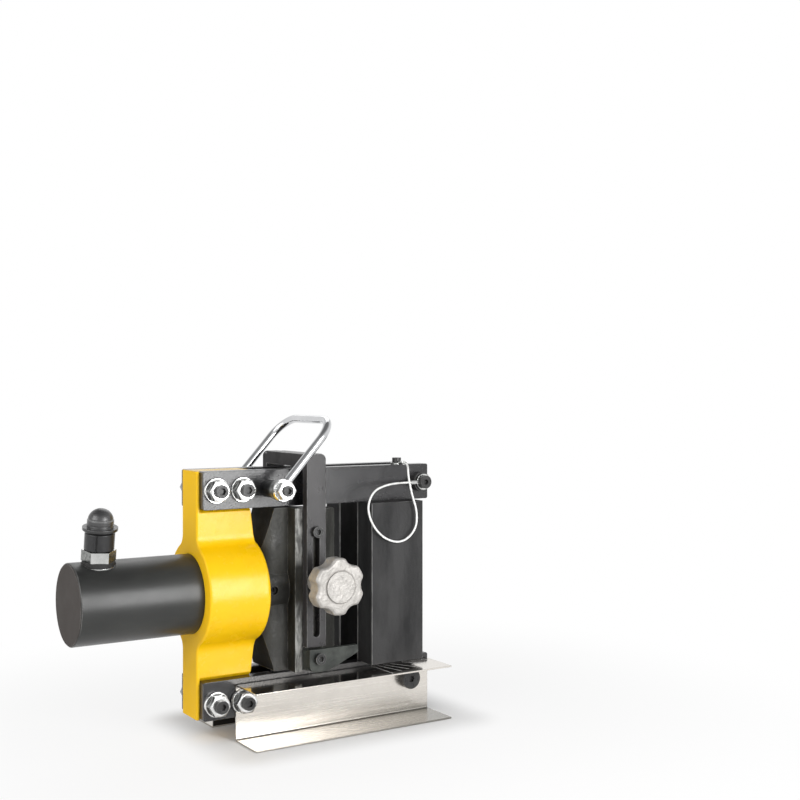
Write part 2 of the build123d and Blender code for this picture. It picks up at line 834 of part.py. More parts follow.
with BuildPart() as punch:
    with BuildSketch(Plane.XY.offset(punch_foot_z)) as punch_section:
        with Locations(((punch_flange_x + block_left_x) / 2, 0)):
            Rectangle(flange_thick, 2 * punch_half_width)
        with Locations(((hub_x + punch_flange_x) / 2, 0)):
            Rectangle(punch_flange_x - hub_x, rib_width)
        rib_roots = punch_section.vertices().filter_by_position(
            Axis.Y, -rib_width / 2, rib_width / 2
        ).group_by(Axis.X)
        fillet(rib_roots[0], rib_round)
        fillet(rib_roots[-1], rib_root_fillet)
    extrude(amount=punch_height)
    with BuildSketch(Plane.XZ):
        with BuildLine():
            Polyline(
                (hub_x, ram_z - rib_hub_half),
                (punch_flange_x - rib_end_depth, punch_foot_z),
                (block_left_x, punch_foot_z),
                (block_left_x, punch_top_z),
                (punch_flange_x - rib_end_depth, punch_top_z),
                (hub_x, ram_z + rib_hub_half),
                close=True,
            )
        make_face()
    extrude(amount=2 * punch_half_width, both=True, mode=Mode.INTERSECT)
    with BuildSketch(Plane.YZ.offset(hub_x)):
        with Locations((0, ram_z)):
            Circle(hub_dia / 2)
    extrude(amount=flange_left - hub_left)
    add(nose.part)
    with BuildSketch(Plane.YZ.offset(hub_x)):
        with Locations((0, ram_z)):
            Circle(rod_dia / 2 + fit_gap)
    extrude(amount=socket_depth, mode=Mode.SUBTRACT)
    with BuildSketch(front_plane(set_screw_place, hub_dia, ram_z)):
        Circle(set_screw_dia / 2 + fit_gap)
    extrude(amount=-hub_dia, mode=Mode.SUBTRACT)
    for screw_z in (clamp_z, guide_screw_z):
        for side_plane in (front_plane, rear_plane):
            with BuildSketch(side_plane(leg_x, punch_half_width, screw_z)):
                Circle(screw_dia / 2 + fit_gap)
            extrude(amount=-screw_grip - free_gap, mode=Mode.SUBTRACT)
    with BuildSketch(front_plane(leg_x, punch_half_width, pointer_screw_z)):
        Circle(screw_dia / 2 + fit_gap)
    extrude(amount=-screw_grip - free_gap, mode=Mode.SUBTRACT)
save(punch, "punch")


# Grub screw that holds the punch on the rod
with BuildPart() as punch_set_screw:
    with BuildSketch(front_plane(set_screw_place, rod_dia / 2 + free_gap, ram_z)):
        Circle(set_screw_dia / 2)
    extrude(amount=set_screw_length)
    with BuildSketch(front_plane(set_screw_place, rod_dia / 2 + free_gap + set_screw_length, ram_z)):
        RegularPolygon(set_screw_dia / 4, 6, major_radius=False)
    extrude(amount=-socket_hole_depth, mode=Mode.SUBTRACT)
save(punch_set_screw, "punch_set_screw")


# Guide bracket: two slotted legs joined by a bridge above the upper bars
bridge_foot_z = upper_bar_top + bridge_gap
leg_top_z = bridge_foot_z + bridge_height
slot_top_z = guide_screw_z + slot_width / 2
slot_height = slot_top_z - slot_foot_z
with BuildPart() as guide_bracket:
    with BuildSketch(Plane.XZ.offset(leg_inner)) as leg_sketch:
        with Locations((leg_x, (leg_foot_z + leg_top_z) / 2)):
            Rectangle(leg_width, leg_top_z - leg_foot_z)
        fillet(leg_sketch.vertices().group_by(Axis.Y)[-1], leg_corner)
        with Locations((leg_x, (slot_foot_z + slot_top_z) / 2)):
            SlotOverall(slot_height, slot_width, rotation=90, mode=Mode.SUBTRACT)
    extrude(amount=leg_thick)
    mirror(about=Plane.XZ)
    with Locations((leg_x, 0, (bridge_foot_z + leg_top_z) / 2)):
        Box(leg_width, 2 * leg_inner, bridge_height)
save(guide_bracket, "guide_bracket")


def make_cap_screw(shank_dia, shank_length, head_dia, head_height, socket):
    """Socket screw standing on Z = 0 under its head, with its shank pointing down."""
    with BuildPart() as screw:
        with BuildSketch():
            Circle(shank_dia / 2)
        extrude(amount=-shank_length)
        with BuildSketch():
            Circle(head_dia / 2)
        extrude(amount=head_height)
        with BuildSketch(Plane.XY.offset(head_height)):
            RegularPolygon(socket / 2, 6, major_radius=False)
        extrude(amount=-socket_hole_depth, mode=Mode.SUBTRACT)
    return screw.part


# Guide screws: two behind, one in front above the clamp stud
guide_seat = leg_outer + free_gap
guide_shank = guide_seat - punch_half_width + screw_grip
guide_screw = make_cap_screw(screw_dia, guide_shank, screw_head_dia, screw_head_height, screw_socket)
with BuildPart() as guide_screws:
    with Locations(
        front_plane(leg_x, guide_seat, guide_screw_z),
        rear_plane(leg_x, guide_seat, guide_screw_z),
        rear_plane(leg_x, guide_seat, clamp_z),
    ):
        add(guide_screw)
save(guide_screws, "guide_screws")


# Clamp stud, washer and star knob
knob_seat = guide_seat + washer_thick + free_gap
knob_face = knob_seat + knob_hub_length + knob_head_thick
with BuildPart() as clamp_stud:
    with BuildSketch(front_plane(leg_x, knob_seat + knob_stud_depth - free_gap, clamp_z)):
        Circle(screw_dia / 2)
    extrude(amount=-(knob_seat + knob_stud_depth - free_gap - punch_half_width + screw_grip))
save(clamp_stud, "clamp_stud")

with BuildPart() as clamp_washer:
    with BuildSketch(front_plane(leg_x, guide_seat, clamp_z)):
        Circle(washer_dia / 2)
        Circle(screw_dia / 2 + fit_gap, mode=Mode.SUBTRACT)
    extrude(amount=washer_thick)
save(clamp_washer, "clamp_washer")

knob_radius = knob_dia / 2
valley_centre = knob_radius + knob_valley_radius - knob_valley_depth
with BuildPart() as star_knob:
    with BuildSketch(front_plane(leg_x, knob_seat, clamp_z)):
        Circle(knob_hub_tip_dia / 2)
    with BuildSketch(front_plane(leg_x, knob_seat + knob_hub_length, clamp_z)):
        Circle(knob_hub_base_dia / 2)
    loft()
    with BuildSketch(front_plane(leg_x, knob_seat + knob_hub_length, clamp_z)) as star_sketch:
        Circle(knob_radius)
        with PolarLocations(valley_centre, knob_lobes):
            Circle(knob_valley_radius, mode=Mode.SUBTRACT)
        fillet(star_sketch.vertices(), knob_lobe_round)
    extrude(amount=knob_head_thick)
    fillet(star_knob.edges().group_by(Axis.Y)[0], knob_edge)
    with BuildSketch(front_plane(leg_x, knob_face, clamp_z)):
        Circle(knob_disc_dia / 2)
    extrude(amount=knob_disc_rise)
    with BuildSketch(front_plane(leg_x, knob_seat, clamp_z)):
        Circle(screw_dia / 2 + run_gap)
    extrude(amount=knob_stud_depth, mode=Mode.SUBTRACT)
save(star_knob, "star_knob")


# Pointer over the angle scale, with the boss that stands it off the punch
pointer_inner = leg_outer + free_gap
pointer_top_z = pointer_foot_z + pointer_height
with BuildPart() as pointer:
    with BuildSketch(Plane.XZ.offset(pointer_inner)) as arm_sketch:
        with BuildLine():
            Polyline(
                (leg_x - pointer_back, pointer_foot_z),
                (leg_x + pointer_back, pointer_foot_z),
                (leg_x + pointer_reach, pointer_top_z - pointer_tip_height),
                (leg_x + pointer_reach, pointer_top_z),
                (leg_x - pointer_back, pointer_top_z),
                close=True,
            )
        make_face()
        fillet(arm_sketch.vertices().group_by(Axis.Y)[0], pointer_corner)
    extrude(amount=pointer_thick)
    with BuildSketch(Plane.XZ.offset(punch_half_width)):
        with Locations((leg_x, pointer_foot_z + pointer_height / 2)):
            Rectangle(pointer_boss_width, pointer_boss_height)
    extrude(amount=pointer_inner - punch_half_width)
    with BuildSketch(front_plane(leg_x, punch_half_width, pointer_screw_z)):
        Circle(screw_dia / 2 + fit_gap)
    extrude(amount=2 * leg_outer, mode=Mode.SUBTRACT)
save(pointer, "pointer")

pointer_face = pointer_inner + pointer_thick
pointer_shank = pointer_face - punch_half_width + screw_grip
with BuildPart() as pointer_screw:
    with Locations(front_plane(leg_x, pointer_face, pointer_screw_z)):
        add(make_cap_screw(screw_dia, pointer_shank, screw_head_dia, screw_head_height, screw_socket))
save(pointer_screw, "pointer_screw")


# V die with a lug between each pair of bars
die_x = bar_right - die_end_inset - die_length
lug_x = bar_right - lug_end_inset - lug_length / 2
die_foot_z = lower_bar_top + fit_gap
die_top_z = upper_bar_z - fit_gap
with BuildPart() as v_die:
    with BuildSketch(Plane.XY.offset(die_foot_z)):
        with BuildLine():
            Polyline(
                (die_x, -die_half_width),
                (die_x + die_length, -die_half_width),
                (die_x + die_length, die_half_width),
                (die_x, die_half_width),
                (die_x, groove_half),
                (die_x + groove_half - groove_relief / 2, groove_relief / 2),
                (die_x + groove_half + groove_relief, groove_relief / 2),
                (die_x + groove_half + groove_relief, -groove_relief / 2),
                (die_x + groove_half - groove_relief / 2, -groove_relief / 2),
                (die_x, -groove_half),
                close=True,
            )
        make_face()
    extrude(amount=die_top_z - die_foot_z)
    for lug_z in (die_foot_z - lug_reach / 2, die_top_z + lug_reach / 2):
        with Locations((lug_x, 0, lug_z)):
            Box(lug_length, core_width - 2 * fit_gap, lug_reach)
    with BuildSketch(Plane.XZ.offset(-core_width)):
        with Locations((gate_x, upper_stud_z)):
            Circle(gate_bore)
        with Locations((hinge_x, hinge_pin_z)):
            Circle(hinge_pin_dia / 2 + fit_gap)
    extrude(amount=2 * core_width, mode=Mode.SUBTRACT)
save(v_die, "v_die")


# Gate pin with a head and a neck for the lanyard's eyelet
gate_head_y = bar_outer + free_gap
gate_neck_y = gate_head_y + gate_head_thick
gate_button_y = gate_neck_y + gate_neck_length
with BuildPart() as gate_pin:
    with BuildSketch(front_plane(gate_x, gate_head_y, upper_stud_z)):
        Circle(gate_pin_dia / 2)
    extrude(amount=-(gate_head_y + bar_outer + gate_tail))
    chamfer(gate_pin.edges().group_by(Axis.Y)[-1], gate_chamfer)
    with BuildSketch(front_plane(gate_x, gate_head_y, upper_stud_z)):
        Circle(gate_head_dia / 2)
    extrude(amount=gate_head_thick)
    with BuildSketch(front_plane(gate_x, gate_neck_y, upper_stud_z)):
        Circle(gate_neck_dia / 2)
    extrude(amount=gate_neck_length)
    with BuildSketch(front_plane(gate_x, gate_button_y, upper_stud_z)):
        Circle(gate_button_dia / 2)
    extrude(amount=gate_button_thick)
    with BuildSketch(front_plane(gate_x, gate_button_y + gate_button_thick, upper_stud_z)):
        RegularPolygon(screw_socket / 2, 6, major_radius=False)
    extrude(amount=-socket_hole_depth, mode=Mode.SUBTRACT)
save(gate_pin, "gate_pin")


# Lower hinge pin of the die, with its round head and nut
hinge_end = channel_outer + hinge_nut_height + hinge_pin_proud
with BuildPart() as hinge_pin:
    with BuildSketch(front_plane(hinge_x, channel_outer, hinge_pin_z)):
        Circle(hinge_pin_dia / 2)
    extrude(amount=-(channel_outer + hinge_end))
    with BuildSketch(front_plane(hinge_x, channel_outer, hinge_pin_z)):
        Circle(hinge_head_dia / 2)
    extrude(amount=hinge_head_thick)
    with BuildSketch(front_plane(hinge_x, channel_outer + hinge_head_thick, hinge_pin_z)):
        RegularPolygon(hinge_pin_dia / 4, 6, major_radius=False)
    extrude(amount=-socket_hole_depth, mode=Mode.SUBTRACT)
save(hinge_pin, "hinge_pin")

with BuildPart() as hinge_nut:
    with Locations(rear_plane(hinge_x, channel_outer, hinge_pin_z)):
        add(make_flange_nut(nut_across_flats, hinge_nut_height, nut_flange_dia, hinge_pin_dia))
save(hinge_nut, "hinge_nut")


# Channel feet: folded stainless sheet, one in front and one behind
channel_tip = bar_outer + channel_flange
channel_length = bar_right - channel_end_inset - (bar_left + channel_left)
for channel_name, channel_side in (("front_channel", -1), ("rear_channel", 1)):
    with BuildPart() as channel:
        with BuildSketch(Plane.YZ.offset(bar_left + channel_left)) as channel_sketch:
            with BuildLine():
                Polyline(
                    (channel_side * bar_outer, 0),
                    (channel_side * channel_tip, 0),
                    (channel_side * channel_tip, channel_thick),
                    (channel_side * channel_outer, channel_thick),
                    (channel_side * channel_outer, channel_height - channel_thick),
                    (channel_side * channel_tip, channel_height - channel_thick),
                    (channel_side * channel_tip, channel_height),
                    (channel_side * bar_outer, channel_height),
                    close=True,
                )
            make_face()
            by_reach = channel_sketch.vertices().group_by(lambda corner: round(abs(corner.X), 3))
            fillet(by_reach[0], channel_bend)
            fillet(
                channel_sketch.vertices().filter_by(
                    lambda corner: abs(abs(corner.X) - channel_outer) < fit_gap
                    and channel_thick - fit_gap < corner.Y < channel_height - channel_thick + fit_gap
                ),
                channel_bend - channel_thick,
            )
        extrude(amount=channel_length)
        with BuildSketch(Plane.XZ.offset(-channel_tip)):
            with Locations((stud_xs[1], lower_stud_z)):
                Circle(stud_dia / 2 + fit_gap)
            with Locations((hinge_x, hinge_pin_z)):
                Circle(hinge_pin_dia / 2 + fit_gap)
        extrude(amount=2 * channel_tip, mode=Mode.SUBTRACT)
    save(channel, channel_name)


# Lanyard screw and the eyelet under its head
lanyard_y = -(core_width + bar_thick) / 2
eyelet_top_z = upper_bar_top + eyelet_thick
with BuildPart() as lanyard_screw:
    with Locations((lanyard_x, lanyard_y, eyelet_top_z)):
        add(
            make_cap_screw(
                lanyard_screw_dia,
                lanyard_screw_grip + eyelet_thick,
                lanyard_screw_head_dia,
                lanyard_screw_head_height,
                lanyard_screw_socket,
            )
        )
save(lanyard_screw, "lanyard_screw")

ferrule_z = upper_bar_top + ferrule_dia / 2
ferrule_y = lanyard_y - eyelet_dia / 2 + ferrule_lap
with BuildPart() as screw_eyelet:
    with BuildSketch(Plane.XY.offset(upper_bar_top)):
        with Locations((lanyard_x, lanyard_y)):
            Circle(eyelet_dia / 2)
            Circle(lanyard_screw_dia / 2 + fit_gap, mode=Mode.SUBTRACT)
    extrude(amount=eyelet_thick)
    with BuildSketch(front_plane(lanyard_x, -ferrule_y, ferrule_z)):
        Circle(ferrule_dia / 2)
    extrude(amount=ferrule_length)
save(screw_eyelet, "screw_eyelet")

pin_eyelet_y = gate_neck_y + gate_neck_length / 2
pin_ferrule_x = gate_x - pin_eyelet_dia / 2 + ferrule_lap
with BuildPart() as pin_eyelet:
    with BuildSketch(front_plane(gate_x, pin_eyelet_y - eyelet_thick / 2, upper_stud_z)):
        Circle(pin_eyelet_dia / 2)
        Circle(gate_neck_dia / 2 + fit_gap, mode=Mode.SUBTRACT)
    extrude(amount=eyelet_thick)
    with BuildSketch(Plane(origin=(pin_ferrule_x, -pin_eyelet_y, upper_stud_z), z_dir=(-1, 0, 0))):
        Circle(ferrule_dia / 2)
    extrude(amount=ferrule_length)
save(pin_eyelet, "pin_eyelet")


# Lanyard: coated wire from the screw's ferrule down in front of the die and back to the pin
lanyard_start = (lanyard_x, ferrule_y - ferrule_length, ferrule_z)
lanyard_finish = (pin_ferrule_x - ferrule_length, -pin_eyelet_y, upper_stud_z)
lanyard_route = [
    lanyard_start,
    (lanyard_x, -43.0, ferrule_z),
    (74.6, -50.0, 238.5),
    (77.2, -50.6, 219.0),
    (78.0, -50.6, 199.0),
    (73.5, -50.4, 181.5),
    (58.0, -50.2, 172.5),
    (40.0, -50.2, 178.0),
    (28.5, -50.2, 193.0),
    (25.5, -49.8, 210.0),
    (31.5, -48.0, 224.5),
    (46.5, -42.0, 230.0),
    (64.0, -pin_eyelet_y, upper_stud_z),
    lanyard_finish,
]
route_points = [Vector(*point) for point in lanyard_route]
lanyard_radii = []
for before, corner, after in zip(route_points, route_points[1:], route_points[2:]):
    turn = radians((corner - before).get_angle(after - corner))
    shorter = min((corner - before).length, (after - corner).length)
    lanyard_radii.append(lanyard_bend_share * shorter / tan(turn / 2))
print("lanyard bend radii", [round(radius, 1) for radius in lanyard_radii])
with BuildPart() as lanyard_wire:
    with BuildLine() as lanyard_path:
        FilletPolyline(*route_points, radius=lanyard_radii)
    with BuildSketch(Plane(origin=lanyard_path.line @ 0, z_dir=lanyard_path.line % 0)):
        Circle(lanyard_dia / 2)
    sweep(path=lanyard_path.wire())
save(lanyard_wire, "lanyard_wire")
lanyard_length = lanyard_path.wire().length
lanyard_fill = lanyard_wire.part.volume / (pi * (lanyard_dia / 2) ** 2 * lanyard_length)
print(f"lanyard length {lanyard_length:.1f} mm, volume over section times length {lanyard_fill:.4f}")
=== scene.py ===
from math import radians

import bmesh
import bpy
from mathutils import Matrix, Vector


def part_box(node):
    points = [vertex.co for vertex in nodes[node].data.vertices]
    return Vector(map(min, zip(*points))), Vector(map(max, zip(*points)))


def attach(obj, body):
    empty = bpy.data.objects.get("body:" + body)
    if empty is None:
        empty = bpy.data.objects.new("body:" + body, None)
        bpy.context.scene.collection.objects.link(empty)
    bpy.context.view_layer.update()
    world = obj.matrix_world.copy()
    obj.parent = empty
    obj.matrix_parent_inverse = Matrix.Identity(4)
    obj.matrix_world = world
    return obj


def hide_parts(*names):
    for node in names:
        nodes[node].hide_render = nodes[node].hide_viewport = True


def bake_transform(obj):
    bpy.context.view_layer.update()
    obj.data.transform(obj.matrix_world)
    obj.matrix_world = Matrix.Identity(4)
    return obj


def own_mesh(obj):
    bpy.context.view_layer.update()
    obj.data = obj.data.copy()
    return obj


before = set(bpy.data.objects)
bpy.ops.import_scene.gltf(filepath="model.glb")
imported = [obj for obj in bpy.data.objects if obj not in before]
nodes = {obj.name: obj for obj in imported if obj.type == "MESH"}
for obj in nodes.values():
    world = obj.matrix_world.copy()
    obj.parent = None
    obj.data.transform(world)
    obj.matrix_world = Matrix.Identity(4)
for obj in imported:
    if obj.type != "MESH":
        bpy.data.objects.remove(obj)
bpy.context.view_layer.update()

# Photo stand: a normal lens a good metre away, level with the tool's top, to its front left.
# It sees the barrel's closed end and the front bars, with the tool in the frame's lower left.
scene = bpy.context.scene
photo_lens = bpy.data.cameras.new("photo_lens")
photo_lens.sensor_width = 36.0
photo_lens.lens = 53.73
photo_lens.clip_start = 0.05
photo_camera = bpy.data.objects.new("photo_camera", photo_lens)
photo_camera.location = (-0.5682, -1.0269, 0.3187)
photo_camera.rotation_euler = (radians(89.69), 0.0, radians(-32.63))
scene.collection.objects.link(photo_camera)
scene.camera = photo_camera
scene.view_settings.view_transform = "Standard"


# Studio: white air that greys overhead, and a white paper floor that keeps the tool's shadow.
# A large soft box stands at the front right, and two wider ones fill from the left and behind.
def put(tree, kind, inputs=None, **options):
    """Add a shader node, set its options, then set or link its inputs."""
    made = tree.nodes.new("ShaderNode" + kind)
    for option, value in options.items():
        setattr(made, option, value)
    for socket, value in (inputs or {}).items():
        if isinstance(value, bpy.types.NodeSocket):
            tree.links.new(value, made.inputs[socket])
        else:
            made.inputs[socket].default_value = value
    return made


def maths(tree, operation, *values):
    """Number that a Math node works out."""
    return put(tree, "Math", dict(enumerate(values)), operation=operation).outputs[0]


def vector_maths(tree, operation, *values):
    """Vector that a Vector Math node works out, or the number of a length or a dot product."""
    made = put(tree, "VectorMath", dict(enumerate(values)), operation=operation)
    return made.outputs["Value" if operation in ("LENGTH", "DOT_PRODUCT") else "Vector"]


def ramp(tree, value, start, stop, low=0.0, high=1.0, smooth=False):
    """Number that goes from low to high as the value goes from start to stop."""
    sockets = {"Value": value, "From Min": start, "From Max": stop, "To Min": low, "To Max": high}
    slope = "SMOOTHSTEP" if smooth else "LINEAR"
    return put(tree, "MapRange", sockets, interpolation_type=slope).outputs[0]


def place_on(tree):
    """Place on a piece, in metres of the tool's own frame."""
    return put(tree, "TexCoord").outputs["Object"]


def seen_ray(tree):
    """One for rays from the lens, a mirror or glass, and nought for rays that carry light."""
    rays = put(tree, "LightPath").outputs
    mirrored = maths(tree, "MAXIMUM", rays["Is Glossy Ray"], rays["Is Transmission Ray"])
    return maths(tree, "MAXIMUM", rays["Is Camera Ray"], mirrored)


pure_white = (1.0, 1.0, 1.0, 1.0)
air_strength = 0.26
grey_from, grey_to, grey_overhead = 0.42, 0.95, 0.22
studio_air = bpy.data.worlds.new("studio_air")
studio_air.use_nodes = True
scene.world = studio_air
air = studio_air.node_tree
air.nodes.clear()
air_height = put(air, "SeparateXYZ", {0: put(air, "TexCoord").outputs["Generated"]}).outputs["Z"]
air_fade = ramp(air, air_height, grey_from, grey_to, 1.0, grey_overhead, smooth=True)
air_light = put(air, "Background", {"Color": pure_white, "Strength": air_strength})
air_seen = put(air, "Background", {"Color": pure_white, "Strength": air_fade})
air_mix = put(air, "MixShader", {0: seen_ray(air), 1: air_light.outputs[0],
                                 2: air_seen.outputs[0]})
put(air, "OutputWorld", {"Surface": air_mix.outputs[0]})

floor_reach = 12.0
floor_drop = 0.0004
paper_grey = (0.88, 0.88, 0.88, 1.0)
feet_half = (0.11, 0.07, 0.0)
shadow_reach, white_reach = 0.05, 0.45
white_at_feet, white_past_shadow = 0.1, 0.82
floor_mesh = bpy.data.meshes.new("paper_floor")
floor_mesh.from_pydata(
    [(-floor_reach, -floor_reach, 0), (floor_reach, -floor_reach, 0),
     (floor_reach, floor_reach, 0), (-floor_reach, floor_reach, 0)],
    [], [(0, 1, 2, 3)])
paper_floor = bpy.data.objects.new("paper_floor", floor_mesh)
paper_floor.location.z = -floor_drop
scene.collection.objects.link(paper_floor)
white_paper = bpy.data.materials.new("white_paper")
white_paper.use_nodes = True
floor_mesh.materials.append(white_paper)
paper = white_paper.node_tree
paper.nodes.clear()
from_middle = vector_maths(paper, "ABSOLUTE", place_on(paper))
from_feet = vector_maths(paper, "SUBTRACT", from_middle, feet_half)
off_feet = vector_maths(paper, "LENGTH", vector_maths(paper, "MAXIMUM", from_feet))
paper_near = ramp(paper, off_feet, 0.0, shadow_reach, white_at_feet, white_past_shadow, smooth=True)
paper_fade = ramp(paper, off_feet, shadow_reach, white_reach, paper_near, 1.0, smooth=True)
paper_share = maths(paper, "MULTIPLY", paper_fade, seen_ray(paper))
paper_lit = put(paper, "BsdfDiffuse", {"Color": paper_grey})
paper_seen = put(paper, "Emission", {"Color": pure_white, "Strength": 1.0})
paper_mix = put(paper, "MixShader", {0: paper_share, 1: paper_lit.outputs[0],
                                     2: paper_seen.outputs[0]})
put(paper, "OutputMaterial", {"Surface": paper_mix.outputs[0]})


def soft_box(name, place, aim, width, height, watts):
    """A rectangular lamp that shines from its place to its aim."""
    data = bpy.data.lights.new(name, "AREA")
    data.shape = "RECTANGLE"
    data.size = width
    data.size_y = height
    data.energy = watts
    lamp = bpy.data.objects.new(name, data)
    lamp.location = place
    lamp.rotation_euler = (Vector(aim) - Vector(place)).to_track_quat("-Z", "Y").to_euler()
    lamp.visible_camera = False
    scene.collection.objects.link(lamp)


soft_box("front_box", place=(0.17, -0.98, 0.35), aim=(-0.05, 0.0, 0.16),
         width=0.44, height=0.68, watts=8.8)
soft_box("left_fill", place=(-1.6, -0.35, 0.8), aim=(-0.1, 0.0, 0.14),
         width=1.2, height=1.2, watts=15.0)
soft_box("rear_fill", place=(0.5, 0.9, 1.3), aim=(0.0, 0.0, 0.15),
         width=1.0, height=1.0, watts=4.0)


# Yoke: one casting with a boss round the cylinder and an ear up and down between the bars.
# It is sprayed with thick glossy yellow enamel, which runs thin and pale over the edges.
# On its left face the enamel has less gloss, and a fuller yellow is painted there as painted light.
def new_finish(name, plain):
    """A material with one Principled shader, whose even values are set on its own sockets."""
    made = bpy.data.materials.new(name)
    made.use_nodes = True
    skin = made.node_tree.nodes["Principled BSDF"]
    for socket, value in plain.items():
        skin.inputs[socket].default_value = value
    return made, made.node_tree, skin


def new_effect(name, inputs, outputs):
    """An empty shader node group with named inputs, each with its usual value, and outputs."""
    group = bpy.data.node_groups.new(name, "ShaderNodeTree")
    for label, value in inputs.items():
        kind = "NodeSocketVector" if isinstance(value, tuple) else "NodeSocketFloat"
        group.interface.new_socket(label, in_out="INPUT", socket_type=kind).default_value = value
    for label, kind in outputs.items():
        group.interface.new_socket(label, in_out="OUTPUT", socket_type="NodeSocket" + kind)
    entry = group.nodes.new("NodeGroupInput")
    result = group.nodes.new("NodeGroupOutput")
    return group, entry.outputs, result.inputs


edge_effect, edge_in, edge_out = new_effect(
    "rounded_edge", {"Radius": 0.0006, "Breakup": 160.0, "Reach": 0.25},
    {"Normal": "Vector", "Edge": "Float"})
edge_start = 0.995
chip_from, chip_to = 0.34, 0.6
edge_bevel = put(edge_effect, "Bevel", {"Radius": edge_in["Radius"]}, samples=6).outputs[0]
edge_flat = put(edge_effect, "NewGeometry").outputs["Normal"]
edge_turn = vector_maths(edge_effect, "DOT_PRODUCT", edge_bevel, edge_flat)
edge_bare = ramp(edge_effect, edge_turn, edge_start, edge_in["Reach"])
edge_chips = put(edge_effect, "TexNoise", {"Vector": place_on(edge_effect),
                                           "Scale": edge_in["Breakup"], "Detail": 4.0})
edge_patch = ramp(edge_effect, edge_chips.outputs[0], chip_from, chip_to)
edge_effect.links.new(edge_bevel, edge_out["Normal"])
edge_effect.links.new(maths(edge_effect, "MULTIPLY", edge_bare, edge_patch), edge_out["Edge"])

mottle_effect, mottle_in, mottle_out = new_effect(
    "mottle", {"Scale": 40.0, "Stretch": (1.0, 1.0, 1.0), "Low": 0.35, "High": 0.65},
    {"Value": "Float"})
mottle_place = vector_maths(mottle_effect, "MULTIPLY", place_on(mottle_effect),
                            mottle_in["Stretch"])
mottle_cloud = put(mottle_effect, "TexNoise", {"Vector": mottle_place, "Scale": mottle_in["Scale"],
                                               "Detail": 5.0, "Roughness": 0.6})
mottle_level = ramp(mottle_effect, mottle_cloud.outputs[0], mottle_in["Low"], mottle_in["High"])
mottle_effect.links.new(mottle_level, mottle_out["Value"])


def edges_of(tree, radius, breakup=160.0, reach=0.25):
    """The rounded edge's Normal, and Edge, which is one along the edges, for worn coats and for
    painted highlights.
    """
    return put(tree, "Group", {"Radius": radius, "Breakup": breakup, "Reach": reach},
               node_tree=edge_effect).outputs


def mottle_of(tree, scale, stretch=(1.0, 1.0, 1.0), low=0.35, high=0.65):
    """Clouds between nought and one, finer as the scale grows, longer where the stretch is low."""
    return put(tree, "Group", {"Scale": scale, "Stretch": stretch, "Low": low, "High": high},
               node_tree=mottle_effect).outputs["Value"]


def tint(tree, share, first, second):
    """Colour that goes from the first to the second as the share goes from nought to one."""
    first, second = [(*colour, 1.0) if isinstance(colour, tuple) else colour
                     for colour in (first, second)]
    return put(tree, "Mix", {0: share, 6: first, 7: second}, data_type="RGBA").outputs[2]


def level(tree, share, first, second):
    """Number that goes from the first to the second as the share goes from nought to one."""
    return ramp(tree, share, 0.0, 1.0, first, second)


def sheen_of(tree, scale, least, most, stretch=(1.0, 1.0, 1.0)):
    """Roughness that clouds between the least and the most."""
    return level(tree, mottle_of(tree, scale, stretch), least, most)


def coat_skin(tree, skin, colour, roughness):
    """Give the shader its colour and its roughness."""
    tree.links.new(colour, skin.inputs["Base Color"])
    tree.links.new(roughness, skin.inputs["Roughness"])


def bump_skin(tree, skin, height, depth, normal=None):
    """Bump the shader by a height field of a given depth in metres."""
    sockets = {"Height": height, "Strength": 1.0, "Distance": depth}
    if normal is not None:
        sockets["Normal"] = normal
    tree.links.new(put(tree, "Bump", sockets).outputs[0], skin.inputs["Normal"])


def place_along(tree, axis):
    """How far a place is along X, Y or Z, in metres of the tool's own frame."""
    return put(tree, "SeparateXYZ", {0: place_on(tree)}).outputs[axis]


def dress(finish, *names):
    """Give CAD nodes a finish."""
    for name in names:
        for held in nodes[name].material_slots:
            held.material = finish


yoke_yellow, yoke_light, yoke_left_painted_light = (0.87, 0.51, 0.002), (0.91, 0.55, 0.003), (0.99, 0.58, 0.001)
yoke_pale = (0.95, 0.66, 0.1)
yoke_left_from, yoke_left_to = -0.139, -0.1403
yoke_rough, yoke_left_rough = 0.22, 0.62
yoke_enamel, tree, skin = new_finish("yellow_enamel", {"Specular IOR Level": 0.4})
yoke_edges = edges_of(tree, radius=0.0014, breakup=70.0)
yoke_left = ramp(tree, place_along(tree, "X"), yoke_left_from, yoke_left_to)
yoke_coat = tint(tree, mottle_of(tree, scale=13.0), yoke_yellow, yoke_light)
# Painted light: the left face gets a brighter, fuller yellow.
yoke_face_with_painted_light = tint(tree, yoke_left, yoke_coat, yoke_left_painted_light)
yoke_sheen = maths(tree, "ADD", sheen_of(tree, scale=60.0, least=0.0, most=0.08),
                   level(tree, yoke_left, yoke_rough, yoke_left_rough))
coat_skin(tree, skin, tint(tree, yoke_edges["Edge"], yoke_face_with_painted_light, yoke_pale), yoke_sheen)
bump_skin(tree, skin, mottle_of(tree, scale=260.0), depth=0.00006, normal=yoke_edges["Normal"])
dress(yoke_enamel, "yoke")

# Frame bars: four flat steel bars with drilled holes, two above and two below the ram.
# They are clamped on the yoke's ears, in a satin black that rubs through to grey along the edges.
bar_black, bar_light, bar_worn = (0.012, 0.012, 0.013), (0.024, 0.023, 0.025), (0.2, 0.2, 0.2)
bar_satin, tree, skin = new_finish("satin_black_bar", {"Specular IOR Level": 0.66})
bar_edges = edges_of(tree, radius=0.0009, breakup=120.0, reach=0.55)
bar_coat = tint(tree, mottle_of(tree, scale=34.0, stretch=(0.5, 1.0, 1.0)), bar_black, bar_light)
coat_skin(tree, skin, tint(tree, bar_edges["Edge"], bar_coat, bar_worn),
          sheen_of(tree, scale=55.0, least=0.17, most=0.24))
bump_skin(tree, skin, mottle_of(tree, scale=520.0), depth=0.00005, normal=bar_edges["Normal"])
dress(bar_satin, "upper_front_bar", "upper_rear_bar", "lower_front_bar", "lower_rear_bar")
